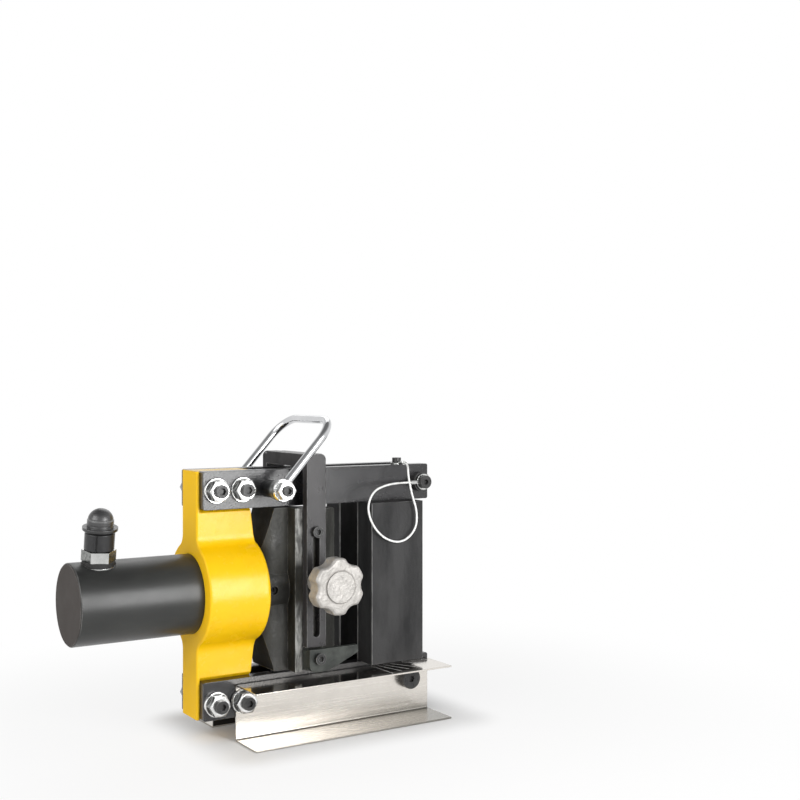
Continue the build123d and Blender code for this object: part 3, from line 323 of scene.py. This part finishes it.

# Studs and flange nuts: black oxide studs with a hexagon socket in the end cross bars and yoke.
# Zinc-plated nuts clamp them from both sides. Their flats are painted darker than their ends
# and rims as painted shade, and the flange is painted dark round the hexagon as painted shadow.
stud_black, stud_light, stud_worn = (0.012, 0.012, 0.013), (0.035, 0.034, 0.033), (0.16, 0.16, 0.16)
oxide, tree, skin = new_finish("black_oxide", {"Specular IOR Level": 0.45})
stud_edges = edges_of(tree, radius=0.0004, breakup=300.0)
stud_coat = tint(tree, mottle_of(tree, scale=140.0), stud_black, stud_light)
coat_skin(tree, skin, tint(tree, stud_edges["Edge"], stud_coat, stud_worn),
          sheen_of(tree, scale=210.0, least=0.26, most=0.42))
bump_skin(tree, skin, mottle_of(tree, scale=900.0), depth=0.00003, normal=stud_edges["Normal"])
dress(oxide, "yoke_studs")


def facing_along(tree, axis):
    """How far a face looks along X, Y or Z, from minus one to one."""
    facing = put(tree, "NewGeometry").outputs["True Normal"]
    return put(tree, "SeparateXYZ", {0: facing}).outputs[axis]


def from_cross_line(tree, place, middle):
    """Distance of a place from a line through the middle that runs across the tool, along Y."""
    off = vector_maths(tree, "SUBTRACT", place, middle)
    return vector_maths(tree, "LENGTH", vector_maths(tree, "MULTIPLY", off, (1.0, 0.0, 1.0)))


nut_grey, nut_bright, nut_rim = (0.74, 0.745, 0.74), (0.86, 0.86, 0.85), (0.86, 0.86, 0.85)
nut_flat_shade, nut_hex_shadow_dark = (0.3, 0.305, 0.3), (0.08, 0.08, 0.078)
nut_flat_facing, nut_end_facing = 0.2, 0.9
nut_flange_y = 0.0294
nut_ring_out, nut_ring_in = 0.0107, 0.0101
studs_middle = (-0.112, 0.0, 0.1335)
studs_half_pitch = (0.013, 0.0, 0.097)
nut_zinc, tree, skin = new_finish("nut_zinc", {"Metallic": 1.0})
nut_edges = edges_of(tree, radius=0.0005, breakup=240.0)
nut_front = maths(tree, "ABSOLUTE", facing_along(tree, "Y"))
nut_flat = maths(tree, "LESS_THAN", nut_front, nut_flat_facing)
nut_end = maths(tree, "GREATER_THAN", nut_front, nut_end_facing)
nut_depth = maths(tree, "ABSOLUTE", place_along(tree, "Y"))
nut_seat = maths(tree, "LESS_THAN", nut_depth, nut_flange_y)
nut_off = vector_maths(tree, "SUBTRACT", place_on(tree), studs_middle)
nut_radius = from_cross_line(tree, vector_maths(tree, "ABSOLUTE", nut_off), studs_half_pitch)
nut_inner = ramp(tree, nut_radius, nut_ring_out, nut_ring_in)
nut_hex_shadow = maths(tree, "MULTIPLY", maths(tree, "MULTIPLY", nut_end, nut_seat), nut_inner)
nut_coat = tint(tree, mottle_of(tree, scale=90.0), nut_grey, nut_bright)
# Painted shade: the flats, and the flange ring round the hexagon, are coloured darker.
nut_flats_shaded = tint(tree, nut_flat, nut_coat, nut_flat_shade)
nut_skin = tint(tree, nut_hex_shadow, nut_flats_shaded, nut_hex_shadow_dark)
coat_skin(tree, skin, tint(tree, nut_edges["Edge"], nut_skin, nut_rim),
          sheen_of(tree, scale=160.0, least=0.14, most=0.28))
bump_skin(tree, skin, mottle_of(tree, scale=640.0, stretch=(1.0, 0.2, 1.0)), depth=0.00003,
          normal=nut_edges["Normal"])
dress(nut_zinc, "yoke_nuts")

# Barrel: a turned steel tube, closed at the left, screwed into the yoke's boss.
# Its smooth black coat has a soft sheen, and the turned end face is browner and duller.
barrel_black, barrel_light = (0.022, 0.0228, 0.022), (0.034, 0.035, 0.033)
barrel_brown, barrel_worn = (0.036, 0.029, 0.025), (0.4, 0.385, 0.37)
barrel_end_x, barrel_end_dulling = -0.2525, 0.4
barrel_paint, tree, skin = new_finish("barrel_black", {"Specular IOR Level": 0.42})
barrel_edges = edges_of(tree, radius=0.0012, breakup=60.0, reach=0.8)
barrel_end = maths(tree, "LESS_THAN", place_along(tree, "X"), barrel_end_x)
barrel_coat = tint(tree, mottle_of(tree, scale=26.0, stretch=(0.4, 1.0, 1.0)),
                   barrel_black, barrel_light)
barrel_face = tint(tree, barrel_end, barrel_coat, barrel_brown)
barrel_sheen = maths(tree, "ADD", sheen_of(tree, scale=40.0, least=0.3, most=0.38),
                     level(tree, barrel_end, 0.0, barrel_end_dulling))
coat_skin(tree, skin, tint(tree, barrel_edges["Edge"], barrel_face, barrel_worn), barrel_sheen)
bump_skin(tree, skin, mottle_of(tree, scale=700.0, stretch=(1.0, 0.1, 0.1)), depth=0.00002,
          normal=barrel_edges["Normal"])
dress(barrel_paint, "cylinder_barrel")

# Inside the barrel: piston, rod, gland and wiper, turned to size and mostly hidden.
# The rod is ground and hard-chromed, the gland is bronze, and seal and wiper are rubber.
turning_lines = (1.0, 0.02, 0.02)
steel_grey, steel_light = (0.45, 0.45, 0.46), (0.6, 0.6, 0.61)
turned_steel, tree, skin = new_finish("turned_steel", {"Metallic": 1.0})
coat_skin(tree, skin, tint(tree, mottle_of(tree, scale=70.0), steel_grey, steel_light),
          sheen_of(tree, scale=900.0, least=0.2, most=0.4, stretch=turning_lines))
bump_skin(tree, skin, mottle_of(tree, scale=900.0, stretch=turning_lines), depth=0.00004)
dress(turned_steel, "cylinder_piston")

rod_grey, rod_light = (0.7, 0.71, 0.73), (0.82, 0.82, 0.84)
hard_chrome, tree, skin = new_finish("hard_chrome", {"Metallic": 1.0})
coat_skin(tree, skin, tint(tree, mottle_of(tree, scale=50.0), rod_grey, rod_light),
          sheen_of(tree, scale=500.0, least=0.06, most=0.16, stretch=(1.0, 0.05, 0.05)))
dress(hard_chrome, "ram_rod")

bronze_brown, bronze_light = (0.55, 0.34, 0.12), (0.74, 0.5, 0.2)
gland_bronze, tree, skin = new_finish("gland_bronze", {"Metallic": 1.0})
coat_skin(tree, skin, tint(tree, mottle_of(tree, scale=60.0), bronze_brown, bronze_light),
          sheen_of(tree, scale=800.0, least=0.24, most=0.42, stretch=turning_lines))
bump_skin(tree, skin, mottle_of(tree, scale=800.0, stretch=turning_lines), depth=0.00004)
dress(gland_bronze, "gland_bush")

rubber_black, rubber_light = (0.01, 0.01, 0.01), (0.026, 0.025, 0.024)
seal_rubber, tree, skin = new_finish("seal_rubber", {"IOR": 1.5})
coat_skin(tree, skin, tint(tree, mottle_of(tree, scale=120.0), rubber_black, rubber_light),
          sheen_of(tree, scale=300.0, least=0.5, most=0.75))
bump_skin(tree, skin, mottle_of(tree, scale=1200.0), depth=0.00004)
dress(seal_rubber, "piston_seal", "rod_wiper")

# Return spring: drawn wire wound round the rod inside the barrel, between piston and gland.
wire_grey, wire_light = (0.2, 0.2, 0.21), (0.36, 0.36, 0.37)
spring_wire, tree, skin = new_finish("spring_wire", {"Metallic": 1.0})
coat_skin(tree, skin, tint(tree, mottle_of(tree, scale=80.0), wire_grey, wire_light),
          sheen_of(tree, scale=400.0, least=0.25, most=0.45))
spring_coil = bpy.data.objects.new("spring_coil", nodes["return_spring"].data.copy())
spring_coil.data.materials.clear()
spring_coil.data.materials.append(spring_wire)
scene.collection.objects.link(spring_coil)
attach(spring_coil, "frame")
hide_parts("return_spring")
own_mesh(spring_coil)

# Coupler: a zinc-plated hexagon on the barrel's flat, over a washer and a rubber seal.
# A black locking sleeve turns on its stem, and a moulded black cap with a domed top closes it.
# Left-facing plating is painted dark as painted shade. The cap has a dark brim and a pale seam.
zinc_grey, zinc_light, zinc_worn = (0.5, 0.51, 0.5), (0.66, 0.66, 0.65), (0.86, 0.86, 0.85)
zinc_shade_dark, zinc_shade_grey = (0.16, 0.165, 0.16), (0.34, 0.345, 0.335)
zinc_left_from, zinc_left_to = -0.55, -0.92
bright_zinc, tree, skin = new_finish("bright_zinc", {"Metallic": 1.0})
zinc_edges = edges_of(tree, radius=0.0005, breakup=240.0)
zinc_left = ramp(tree, facing_along(tree, "X"), zinc_left_from, zinc_left_to)
zinc_coat = tint(tree, mottle_of(tree, scale=90.0), zinc_grey, zinc_light)
# Painted shade: sides that face left get a darker zinc.
zinc_left_shade = tint(tree, mottle_of(tree, scale=420.0), zinc_shade_dark, zinc_shade_grey)
zinc_skin = tint(tree, zinc_left, zinc_coat, zinc_left_shade)
coat_skin(tree, skin, tint(tree, zinc_edges["Edge"], zinc_skin, zinc_worn),
          sheen_of(tree, scale=160.0, least=0.14, most=0.28))
bump_skin(tree, skin, mottle_of(tree, scale=640.0, stretch=(1.0, 0.2, 1.0)), depth=0.00003,
          normal=zinc_edges["Normal"])
dress(bright_zinc, "port_washer", "coupler_body")
dress(seal_rubber, "port_seal")

sleeve_dark, sleeve_light = (0.012, 0.012, 0.013), (0.03, 0.03, 0.031)
sleeve_worn = (0.18, 0.18, 0.18)
sleeve_black, tree, skin = new_finish("sleeve_black", {"Specular IOR Level": 0.4})
sleeve_edges = edges_of(tree, radius=0.0006, breakup=220.0)
sleeve_coat = tint(tree, mottle_of(tree, scale=90.0, stretch=(1.0, 1.0, 0.3)),
                   sleeve_dark, sleeve_light)
coat_skin(tree, skin, tint(tree, sleeve_edges["Edge"], sleeve_coat, sleeve_worn),
          sheen_of(tree, scale=150.0, least=0.28, most=0.4))
bump_skin(tree, skin, mottle_of(tree, scale=800.0), depth=0.00003, normal=sleeve_edges["Normal"])
dress(sleeve_black, "coupler_sleeve")


def off_from(tree, value, middle):
    """How far a value is from a middle one, either way."""
    return maths(tree, "ABSOLUTE", maths(tree, "SUBTRACT", value, middle))


cap_black, cap_light, cap_worn = (0.024, 0.024, 0.025), (0.042, 0.042, 0.043), (0.2, 0.2, 0.2)
cap_seam_grey, cap_brim_black = (0.13, 0.13, 0.13), (0.003, 0.003, 0.003)
port_foot = (-0.228, 0.0, 0.135)
port_axis = (0.0, -0.17365, 0.98481)
cap_brim_from, cap_brim_to = 0.0684, 0.0679
cap_seam_height, cap_seam_out, cap_seam_in = 0.0757, 0.0009, 0.0003
moulded_cap, tree, skin = new_finish("moulded_cap", {"Specular IOR Level": 0.8})
cap_edges = edges_of(tree, radius=0.0007, breakup=260.0)
cap_place = vector_maths(tree, "SUBTRACT", place_on(tree), port_foot)
cap_height = vector_maths(tree, "DOT_PRODUCT", cap_place, port_axis)
cap_brim = ramp(tree, cap_height, cap_brim_from, cap_brim_to)
cap_seam = ramp(tree, off_from(tree, cap_height, cap_seam_height), cap_seam_out, cap_seam_in)
cap_coat = tint(tree, mottle_of(tree, scale=70.0), cap_black, cap_light)
cap_ringed = tint(tree, cap_seam, cap_coat, cap_seam_grey)
cap_skin = tint(tree, cap_brim, cap_ringed, cap_brim_black)
coat_skin(tree, skin, tint(tree, cap_edges["Edge"], cap_skin, cap_worn),
          sheen_of(tree, scale=110.0, least=0.28, most=0.36))
bump_skin(tree, skin, mottle_of(tree, scale=1000.0), depth=0.00003, normal=cap_edges["Normal"])
dress(moulded_cap, "dust_cap")

# Carrying handle: one polished chrome rod, bent at two corners, with a dulled eye at each end.
# It swings on a black stud across both upper bars, between dark spacers and zinc-plated nuts.
handle_grey, handle_light = (0.55, 0.56, 0.57), (0.66, 0.66, 0.67)
eye_dark, eye_light = (0.16, 0.165, 0.16), (0.3, 0.305, 0.295)
eye_middle = (-0.0725, 0.0, 0.2305)
eye_out, eye_in, eye_dulling = 0.0125, 0.0105, 0.34
chrome, tree, skin = new_finish("polished_chrome", {"Metallic": 1.0})
handle_eye = ramp(tree, from_cross_line(tree, place_on(tree), eye_middle), eye_out, eye_in)
handle_coat = tint(tree, mottle_of(tree, scale=40.0), handle_grey, handle_light)
eye_coat = tint(tree, mottle_of(tree, scale=380.0), eye_dark, eye_light)
handle_sheen = maths(tree, "ADD", sheen_of(tree, scale=120.0, least=0.05, most=0.12),
                     level(tree, handle_eye, 0.0, eye_dulling))
coat_skin(tree, skin, tint(tree, handle_eye, handle_coat, eye_coat), handle_sheen)
dress(chrome, "carry_handle")
dress(oxide, "handle_stud")
dress(nut_zinc, "handle_nuts")

round_lines = (0.1, 1.0, 0.1)
spacer_dark, spacer_light, spacer_worn = (0.035, 0.036, 0.036), (0.13, 0.13, 0.13), (0.4, 0.4, 0.4)
spacer_steel, tree, skin = new_finish("spacer_steel", {"Metallic": 1.0})
spacer_edges = edges_of(tree, radius=0.0005, breakup=240.0)
spacer_coat = tint(tree, mottle_of(tree, scale=500.0, stretch=round_lines),
                   spacer_dark, spacer_light)
coat_skin(tree, skin, tint(tree, spacer_edges["Edge"], spacer_coat, spacer_worn),
          sheen_of(tree, scale=130.0, least=0.32, most=0.46))
bump_skin(tree, skin, mottle_of(tree, scale=900.0, stretch=round_lines), depth=0.00004,
          normal=spacer_edges["Normal"])
dress(spacer_steel, "handle_spacers")

# Punch: a rough black casting with a hub on the rod, a rib, a machined flange and a V nose.
# The flange's sides are milled bare and scratched above and below the hub. Beside the hub they
# keep the dark coat as painted shadow of the knob. The rib's slanted ends that face left are
# painted dark as painted shade, with a painted highlight on their crest. The nose is cleaner,
# and painted shade darkens the coat downwards.
punch_black, punch_light = (0.012, 0.012, 0.009), (0.05, 0.049, 0.04)
punch_worn_and_highlight = (0.34, 0.34, 0.32)
nose_black, nose_light = (0.034, 0.034, 0.031), (0.085, 0.085, 0.078)
scratch_dark, scratch_bright = (0.08, 0.08, 0.075), (0.28, 0.28, 0.265)
slope_painted_shade, crest_painted_highlight = (0.004, 0.004, 0.003), (0.32, 0.32, 0.3)
shade_black, shade_share = (0.006, 0.006, 0.004), 0.8
shade_from, shade_to = 0.115, 0.07
milled_side_y, milled_strip_x = 0.0378, -0.0434
hub_height, knob_shadow_from, knob_shadow_to = 0.141, 0.014, 0.024
nose_root_x = -0.0225
milled_metal = 0.55
slope_facing_x, slope_facing_z, slope_dulling = -0.9, 0.15, 0.4
cast_down = (1.0, 1.0, 0.35)
punch_cast, tree, skin = new_finish("black_casting", {"Specular IOR Level": 0.5})
punch_edges = edges_of(tree, radius=0.0009, breakup=130.0, reach=0.8)
punch_highlight_crest = edges_of(tree, radius=0.0024, breakup=60.0, reach=0.9)["Edge"]
punch_x, punch_y, punch_z = [place_along(tree, axis) for axis in "XYZ"]
punch_side = maths(tree, "GREATER_THAN", maths(tree, "ABSOLUTE", punch_y), milled_side_y)
punch_strip = maths(tree, "LESS_THAN", punch_x, milled_strip_x)
# Painted shadow of the knob: near the hub's height the strip keeps the dark coat.
punch_off_knob_shadow = ramp(tree, off_from(tree, punch_z, hub_height), knob_shadow_from, knob_shadow_to, smooth=True)
punch_bare_unshaded = maths(tree, "MULTIPLY", maths(tree, "MULTIPLY", punch_side, punch_strip), punch_off_knob_shadow)
punch_left = maths(tree, "LESS_THAN", facing_along(tree, "X"), slope_facing_x)
punch_tilt = maths(tree, "GREATER_THAN", maths(tree, "ABSOLUTE", facing_along(tree, "Z")),
                   slope_facing_z)
punch_slope = maths(tree, "MULTIPLY", punch_left, punch_tilt)
punch_nose = maths(tree, "GREATER_THAN", punch_x, nose_root_x)
punch_low_shade = ramp(tree, punch_z, shade_from, shade_to, high=shade_share)
punch_clouds = mottle_of(tree, scale=42.0, stretch=cast_down, low=0.4, high=0.66)
punch_lines = mottle_of(tree, scale=260.0, stretch=(1.0, 1.0, 0.25), low=0.42, high=0.6)
# Painted shade: the coat darkens towards the bottom.
punch_coat = tint(tree, punch_low_shade, tint(tree, punch_clouds, punch_black, punch_light), shade_black)
punch_body = tint(tree, punch_nose, punch_coat, tint(tree, punch_clouds, nose_black, nose_light))
# Painted shade on the rib's slanted ends that face left, with a painted highlight on their crest.
punch_ribs = tint(tree, punch_slope, punch_body, tint(tree, punch_highlight_crest, slope_painted_shade, crest_painted_highlight))
punch_skin = tint(tree, punch_bare_unshaded, punch_ribs,
                  tint(tree, punch_lines, scratch_dark, scratch_bright))
punch_sheen = maths(tree, "ADD", sheen_of(tree, scale=80.0, least=0.4, most=0.6),
                    level(tree, punch_slope, 0.0, slope_dulling))
# The worn light edges are also lightened as painted highlight.
coat_skin(tree, skin, tint(tree, punch_edges["Edge"], punch_skin, punch_worn_and_highlight), punch_sheen)
tree.links.new(level(tree, punch_bare_unshaded, 0.0, milled_metal), skin.inputs["Metallic"])
bump_skin(tree, skin, mottle_of(tree, scale=300.0), depth=0.00018, normal=punch_edges["Normal"])
dress(punch_cast, "punch")
dress(oxide, "punch_set_screw")

# Guide bracket: two slotted legs and a bridge over the upper bars, held to the punch by screws.
# It is satin black like the bars, duller on its left side and worn light along its edges,
# which are also lightened as painted highlight.
# The screws are black, and worn light at the rim of the head.
guide_black, guide_light = (0.014, 0.013, 0.0135), (0.03, 0.028, 0.029)
guide_worn_and_highlight = (0.34, 0.34, 0.335)
guide_left_x, guide_left_dulling = -0.0426, 0.4
guide_satin, tree, skin = new_finish("satin_black_guide", {"Specular IOR Level": 0.48})
guide_edges = edges_of(tree, radius=0.0013, breakup=110.0, reach=0.75)
guide_left = maths(tree, "LESS_THAN", place_along(tree, "X"), guide_left_x)
guide_coat = tint(tree, mottle_of(tree, scale=46.0, stretch=(1.0, 1.0, 0.3)),
                  guide_black, guide_light)
guide_sheen = maths(tree, "ADD", sheen_of(tree, scale=60.0, least=0.26, most=0.36),
                    level(tree, guide_left, 0.0, guide_left_dulling))
# The light edges are partly wear and partly painted highlight.
coat_skin(tree, skin, tint(tree, guide_edges["Edge"], guide_coat, guide_worn_and_highlight), guide_sheen)
bump_skin(tree, skin, mottle_of(tree, scale=560.0), depth=0.00004, normal=guide_edges["Normal"])
dress(guide_satin, "guide_bracket")

screw_dark, screw_light = (0.008, 0.008, 0.0085), (0.02, 0.02, 0.019)
screw_worn = (0.36, 0.36, 0.35)
screw_black, tree, skin = new_finish("screw_black", {"Specular IOR Level": 0.45})
screw_edges = edges_of(tree, radius=0.0009, breakup=200.0, reach=0.8)
screw_coat = tint(tree, mottle_of(tree, scale=180.0), screw_dark, screw_light)
coat_skin(tree, skin, tint(tree, screw_edges["Edge"], screw_coat, screw_worn),
          sheen_of(tree, scale=210.0, least=0.3, most=0.46))
bump_skin(tree, skin, mottle_of(tree, scale=900.0), depth=0.00003, normal=screw_edges["Normal"])
dress(screw_black, "guide_screws")

# Star knob: a pale die-cast knob with six lobes and a raised disc, on a stud in the punch.
# The casting is bare, slightly warm and specked, with a dark ring round the disc.
# The stud and its washer are zinc-plated.
knob_grey, knob_light, knob_worn = (0.36, 0.345, 0.325), (0.49, 0.47, 0.445), (0.6, 0.585, 0.56)
knob_dark_marks = (0.13, 0.12, 0.105)
knob_middle = (-0.033, 0.0, 0.144)
ring_radius, ring_out, ring_in, ring_share = 0.0149, 0.0014, 0.0003, 0.6
speck_share = 0.5
knob_alloy, tree, skin = new_finish("cast_alloy", {"Metallic": 0.3, "IOR": 1.5})
knob_edges = edges_of(tree, radius=0.0008, breakup=150.0)
knob_radius = from_cross_line(tree, place_on(tree), knob_middle)
knob_ring = ramp(tree, off_from(tree, knob_radius, ring_radius), ring_out, ring_in, high=ring_share)
knob_speck = level(tree, mottle_of(tree, scale=240.0, low=0.46, high=0.72), 0.0, speck_share)
# Darker at random specks and in a ring round the disc.
knob_specks_and_ring = maths(tree, "MAXIMUM", knob_ring, knob_speck)
knob_coat = tint(tree, mottle_of(tree, scale=60.0), knob_grey, knob_light)
knob_skin = tint(tree, knob_specks_and_ring, knob_coat, knob_dark_marks)
coat_skin(tree, skin, tint(tree, knob_edges["Edge"], knob_skin, knob_worn),
          sheen_of(tree, scale=140.0, least=0.32, most=0.48))
bump_skin(tree, skin, mottle_of(tree, scale=260.0), depth=0.00022, normal=knob_edges["Normal"])
dress(knob_alloy, "star_knob")
dress(bright_zinc, "clamp_stud", "clamp_washer")

# Pointer: a small rough steel arm under the guide's leg, screwed to the punch.
# Its tip shows the bend on the marks of the channel below it.
arm_black, arm_light, arm_worn = (0.013, 0.016, 0.013), (0.046, 0.052, 0.045), (0.26, 0.27, 0.25)
pointer_black, tree, skin = new_finish("pointer_black", {"Specular IOR Level": 0.4})
arm_edges = edges_of(tree, radius=0.0008, breakup=160.0)
arm_coat = tint(tree, mottle_of(tree, scale=90.0), arm_black, arm_light)
coat_skin(tree, skin, tint(tree, arm_edges["Edge"], arm_coat, arm_worn),
          sheen_of(tree, scale=120.0, least=0.4, most=0.58))
bump_skin(tree, skin, mottle_of(tree, scale=420.0), depth=0.00012, normal=arm_edges["Normal"])
dress(pointer_black, "pointer")
dress(screw_black, "pointer_screw")

# V die: a heavy black block with a V groove, held between the bars by a pin above and one below.
# The ground lips of its groove are bare. Its left rims are bare and painted light as painted
# highlight, and dark streaks run down its faces.
die_dark, die_light, die_steel = (0.008, 0.008, 0.0085), (0.036, 0.0355, 0.036), (0.5, 0.5, 0.49)
die_left_x, die_left_dulling = 0.029, 0.35
lip_from, lip_to = 0.0192, 0.0182
rim_from, rim_to, rim_share = 0.0434, 0.0444, 0.45
edge_share = 0.3
streaks_down = (1.0, 1.0, 0.3)
die_black, tree, skin = new_finish("black_die", {"Specular IOR Level": 0.26})
die_edges = edges_of(tree, radius=0.0008, breakup=60.0, reach=0.9)
die_left = maths(tree, "LESS_THAN", place_along(tree, "X"), die_left_x)
die_depth = maths(tree, "ABSOLUTE", place_along(tree, "Y"))
die_lip = ramp(tree, die_depth, lip_from, lip_to)
# The left rims get bare steel colour, partly wear and partly painted highlight.
die_rim_highlight = ramp(tree, die_depth, rim_from, rim_to, high=rim_share)
die_lips_and_rims = maths(tree, "MULTIPLY", maths(tree, "MAXIMUM", die_lip, die_rim_highlight), die_left)
die_wear_and_highlight = maths(tree, "MULTIPLY", die_lips_and_rims, mottle_of(tree, scale=70.0, low=0.2, high=0.55))
die_bare_and_highlight = maths(tree, "MAXIMUM", level(tree, die_edges["Edge"], 0.0, edge_share), die_wear_and_highlight)
die_coat = tint(tree, mottle_of(tree, scale=30.0, stretch=streaks_down, low=0.38, high=0.62),
                die_dark, die_light)
die_sheen = maths(tree, "ADD",
                  sheen_of(tree, scale=48.0, least=0.36, most=0.5, stretch=streaks_down),
                  level(tree, die_left, 0.0, die_left_dulling))
coat_skin(tree, skin, tint(tree, die_bare_and_highlight, die_coat, die_steel), die_sheen)
bump_skin(tree, skin, mottle_of(tree, scale=380.0), depth=0.00008, normal=die_edges["Normal"])
dress(die_black, "v_die")
dress(oxide, "gate_pin", "hinge_pin")
dress(nut_zinc, "hinge_nut")

# Channel feet: bright stainless sheet, folded into a channel and clamped under the stud nuts.
# A fine grain runs along it. Its lower flange is painted greyer towards the right as painted
# shade, and its back, between the bars, is painted dark as painted shade.
# The front one has angle marks painted on its upper flange.
sheet_warm, sheet_light = (0.63, 0.595, 0.55), (0.75, 0.715, 0.665)
foot_shade_light, foot_shade_grey, back_shade_dark = (0.52, 0.49, 0.45), (0.3, 0.29, 0.265), (0.045, 0.043, 0.04)
foot_shade_left_x, foot_shade_right_x = -0.09, 0.1
foot_shade_top, foot_shade_end = 0.0018, 0.008
web_back_y, flange_top_z = 0.0252, 0.0515
sheet_smooth, sheet_dull, flange_polish = 0.2, 0.32, -0.12
stainless, tree, skin = new_finish("folded_stainless", {"Metallic": 1.0})
sheet_grain = mottle_of(tree, scale=90.0, stretch=(0.15, 6.0, 6.0), low=0.2, high=0.8)
sheet_x, sheet_y, sheet_z = [place_along(tree, axis) for axis in "XYZ"]
sheet_back = maths(tree, "LESS_THAN", maths(tree, "ABSOLUTE", sheet_y), web_back_y)
sheet_top = maths(tree, "GREATER_THAN", sheet_z, flange_top_z)
sheet_tone = tint(tree, mottle_of(tree, scale=9.0), sheet_warm, sheet_light)
# Painted shade: the lower flange turns greyer towards the right.
sheet_foot_shade = tint(tree, ramp(tree, sheet_x, foot_shade_left_x, foot_shade_right_x), foot_shade_light, foot_shade_grey)
sheet_face = tint(tree, ramp(tree, sheet_z, foot_shade_top, foot_shade_end), sheet_foot_shade, sheet_tone)
sheet_sheen = maths(tree, "ADD", level(tree, sheet_grain, sheet_smooth, sheet_dull),
                    level(tree, sheet_top, 0.0, flange_polish))
# Painted shade: the back faces between the bars are coloured dark.
coat_skin(tree, skin, tint(tree, sheet_back, sheet_face, back_shade_dark), sheet_sheen)
bump_skin(tree, skin, sheet_grain, depth=0.00001,
          normal=edges_of(tree, radius=0.0006)["Normal"])
dress(stainless, "front_channel", "rear_channel")

chalk_grey, chalk_white = (0.7, 0.7, 0.69), (0.86, 0.86, 0.85)
mark_white, tree, skin = new_finish("mark_white", {"IOR": 1.45})
coat_skin(tree, skin, tint(tree, mottle_of(tree, scale=300.0), chalk_grey, chalk_white),
          sheen_of(tree, scale=200.0, least=0.4, most=0.6))
mark_width = 0.0006
mark_rise = 0.00006
mark_far = -0.0295
mark_lines = ((0.0379, 0.0394, -0.0660), (0.0441, 0.0516, -0.0620), (0.0502, 0.0622, -0.0585),
              (0.0589, 0.0722, -0.0540), (0.0723, 0.0865, -0.0457), (0.0955, 0.1030, -0.0370))
mark_faces = ((3, 2, 1, 0), (4, 5, 6, 7), (0, 1, 5, 4), (1, 2, 6, 5), (2, 3, 7, 6), (3, 0, 4, 7))
flange_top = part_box("front_channel")[1].z
marks = bmesh.new()
for far_x, near_x, near_y in mark_lines:
    run = Vector((near_x - far_x, near_y - mark_far))
    side = Vector((-run.y, run.x)).normalized() * mark_width / 2
    outline = ((near_x, near_y, 1), (near_x, near_y, -1),
               (far_x, mark_far, -1), (far_x, mark_far, 1))
    corners = [marks.verts.new((x - side.x * way, y - side.y * way, z))
               for z in (flange_top - mark_rise, flange_top + mark_rise) for x, y, way in outline]
    for face in mark_faces:
        marks.faces.new([corners[index] for index in face])
mark_mesh = bpy.data.meshes.new("angle_marks")
marks.to_mesh(mark_mesh)
marks.free()
mark_mesh.materials.append(mark_white)
angle_marks = bpy.data.objects.new("angle_marks", mark_mesh)
scene.collection.objects.link(angle_marks)
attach(angle_marks, "frame")

# Lanyard: a thin stranded wire in a clear white coat, with a ferrule pressed on at each end.
# It hangs from a black screw in one loop and comes back to the gate pin.
# Each ferrule carries a zinc-plated eyelet.
lanyard_route = [
    (0.0730, -0.0325, 0.2500), (0.0722, -0.0412, 0.2496), (0.0682, -0.0475, 0.2390),
    (0.0706, -0.0504, 0.2205), (0.0770, -0.0506, 0.2030), (0.0755, -0.0504, 0.1845),
    (0.0590, -0.0502, 0.1730), (0.0390, -0.0502, 0.1785), (0.0250, -0.0502, 0.1935),
    (0.0200, -0.0499, 0.2105), (0.0280, -0.0482, 0.2250), (0.0450, -0.0425, 0.2295),
    (0.0640, -0.0343, 0.2305), (0.0795, -0.0343, 0.2305)]
lanyard_dia = 0.002
lanyard_line = bpy.data.curves.new("lanyard_line", "CURVE")
lanyard_line.dimensions = "3D"
lanyard_line.resolution_u = 10
lanyard_run = lanyard_line.splines.new("NURBS")
lanyard_run.points.add(len(lanyard_route) - 1)
for control, point in zip(lanyard_run.points, lanyard_route):
    control.co = (*point, 1.0)
lanyard_run.order_u = 3
lanyard_run.use_endpoint_u = True
lanyard_guide = bpy.data.objects.new("lanyard_guide", lanyard_line)
scene.collection.objects.link(lanyard_guide)
lanyard_thread = bpy.data.meshes.new_from_object(lanyard_guide)
lanyard_line.bevel_depth = lanyard_dia / 2
lanyard_line.bevel_resolution = 3
lanyard = bpy.data.objects.new("lanyard", bpy.data.meshes.new_from_object(lanyard_guide))
bpy.data.objects.remove(lanyard_guide)
scene.collection.objects.link(lanyard)
wire_cream, wire_white = (0.78, 0.78, 0.76), (0.9, 0.9, 0.89)
white_coat, tree, skin = new_finish("white_coat", {"IOR": 1.5})
coat_skin(tree, skin, tint(tree, mottle_of(tree, scale=200.0), wire_cream, wire_white),
          sheen_of(tree, scale=150.0, least=0.2, most=0.34))
lanyard.data.materials.append(white_coat)
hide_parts("lanyard_wire")
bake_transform(lanyard)
dress(oxide, "lanyard_screw")
dress(bright_zinc, "screw_eyelet", "pin_eyelet")
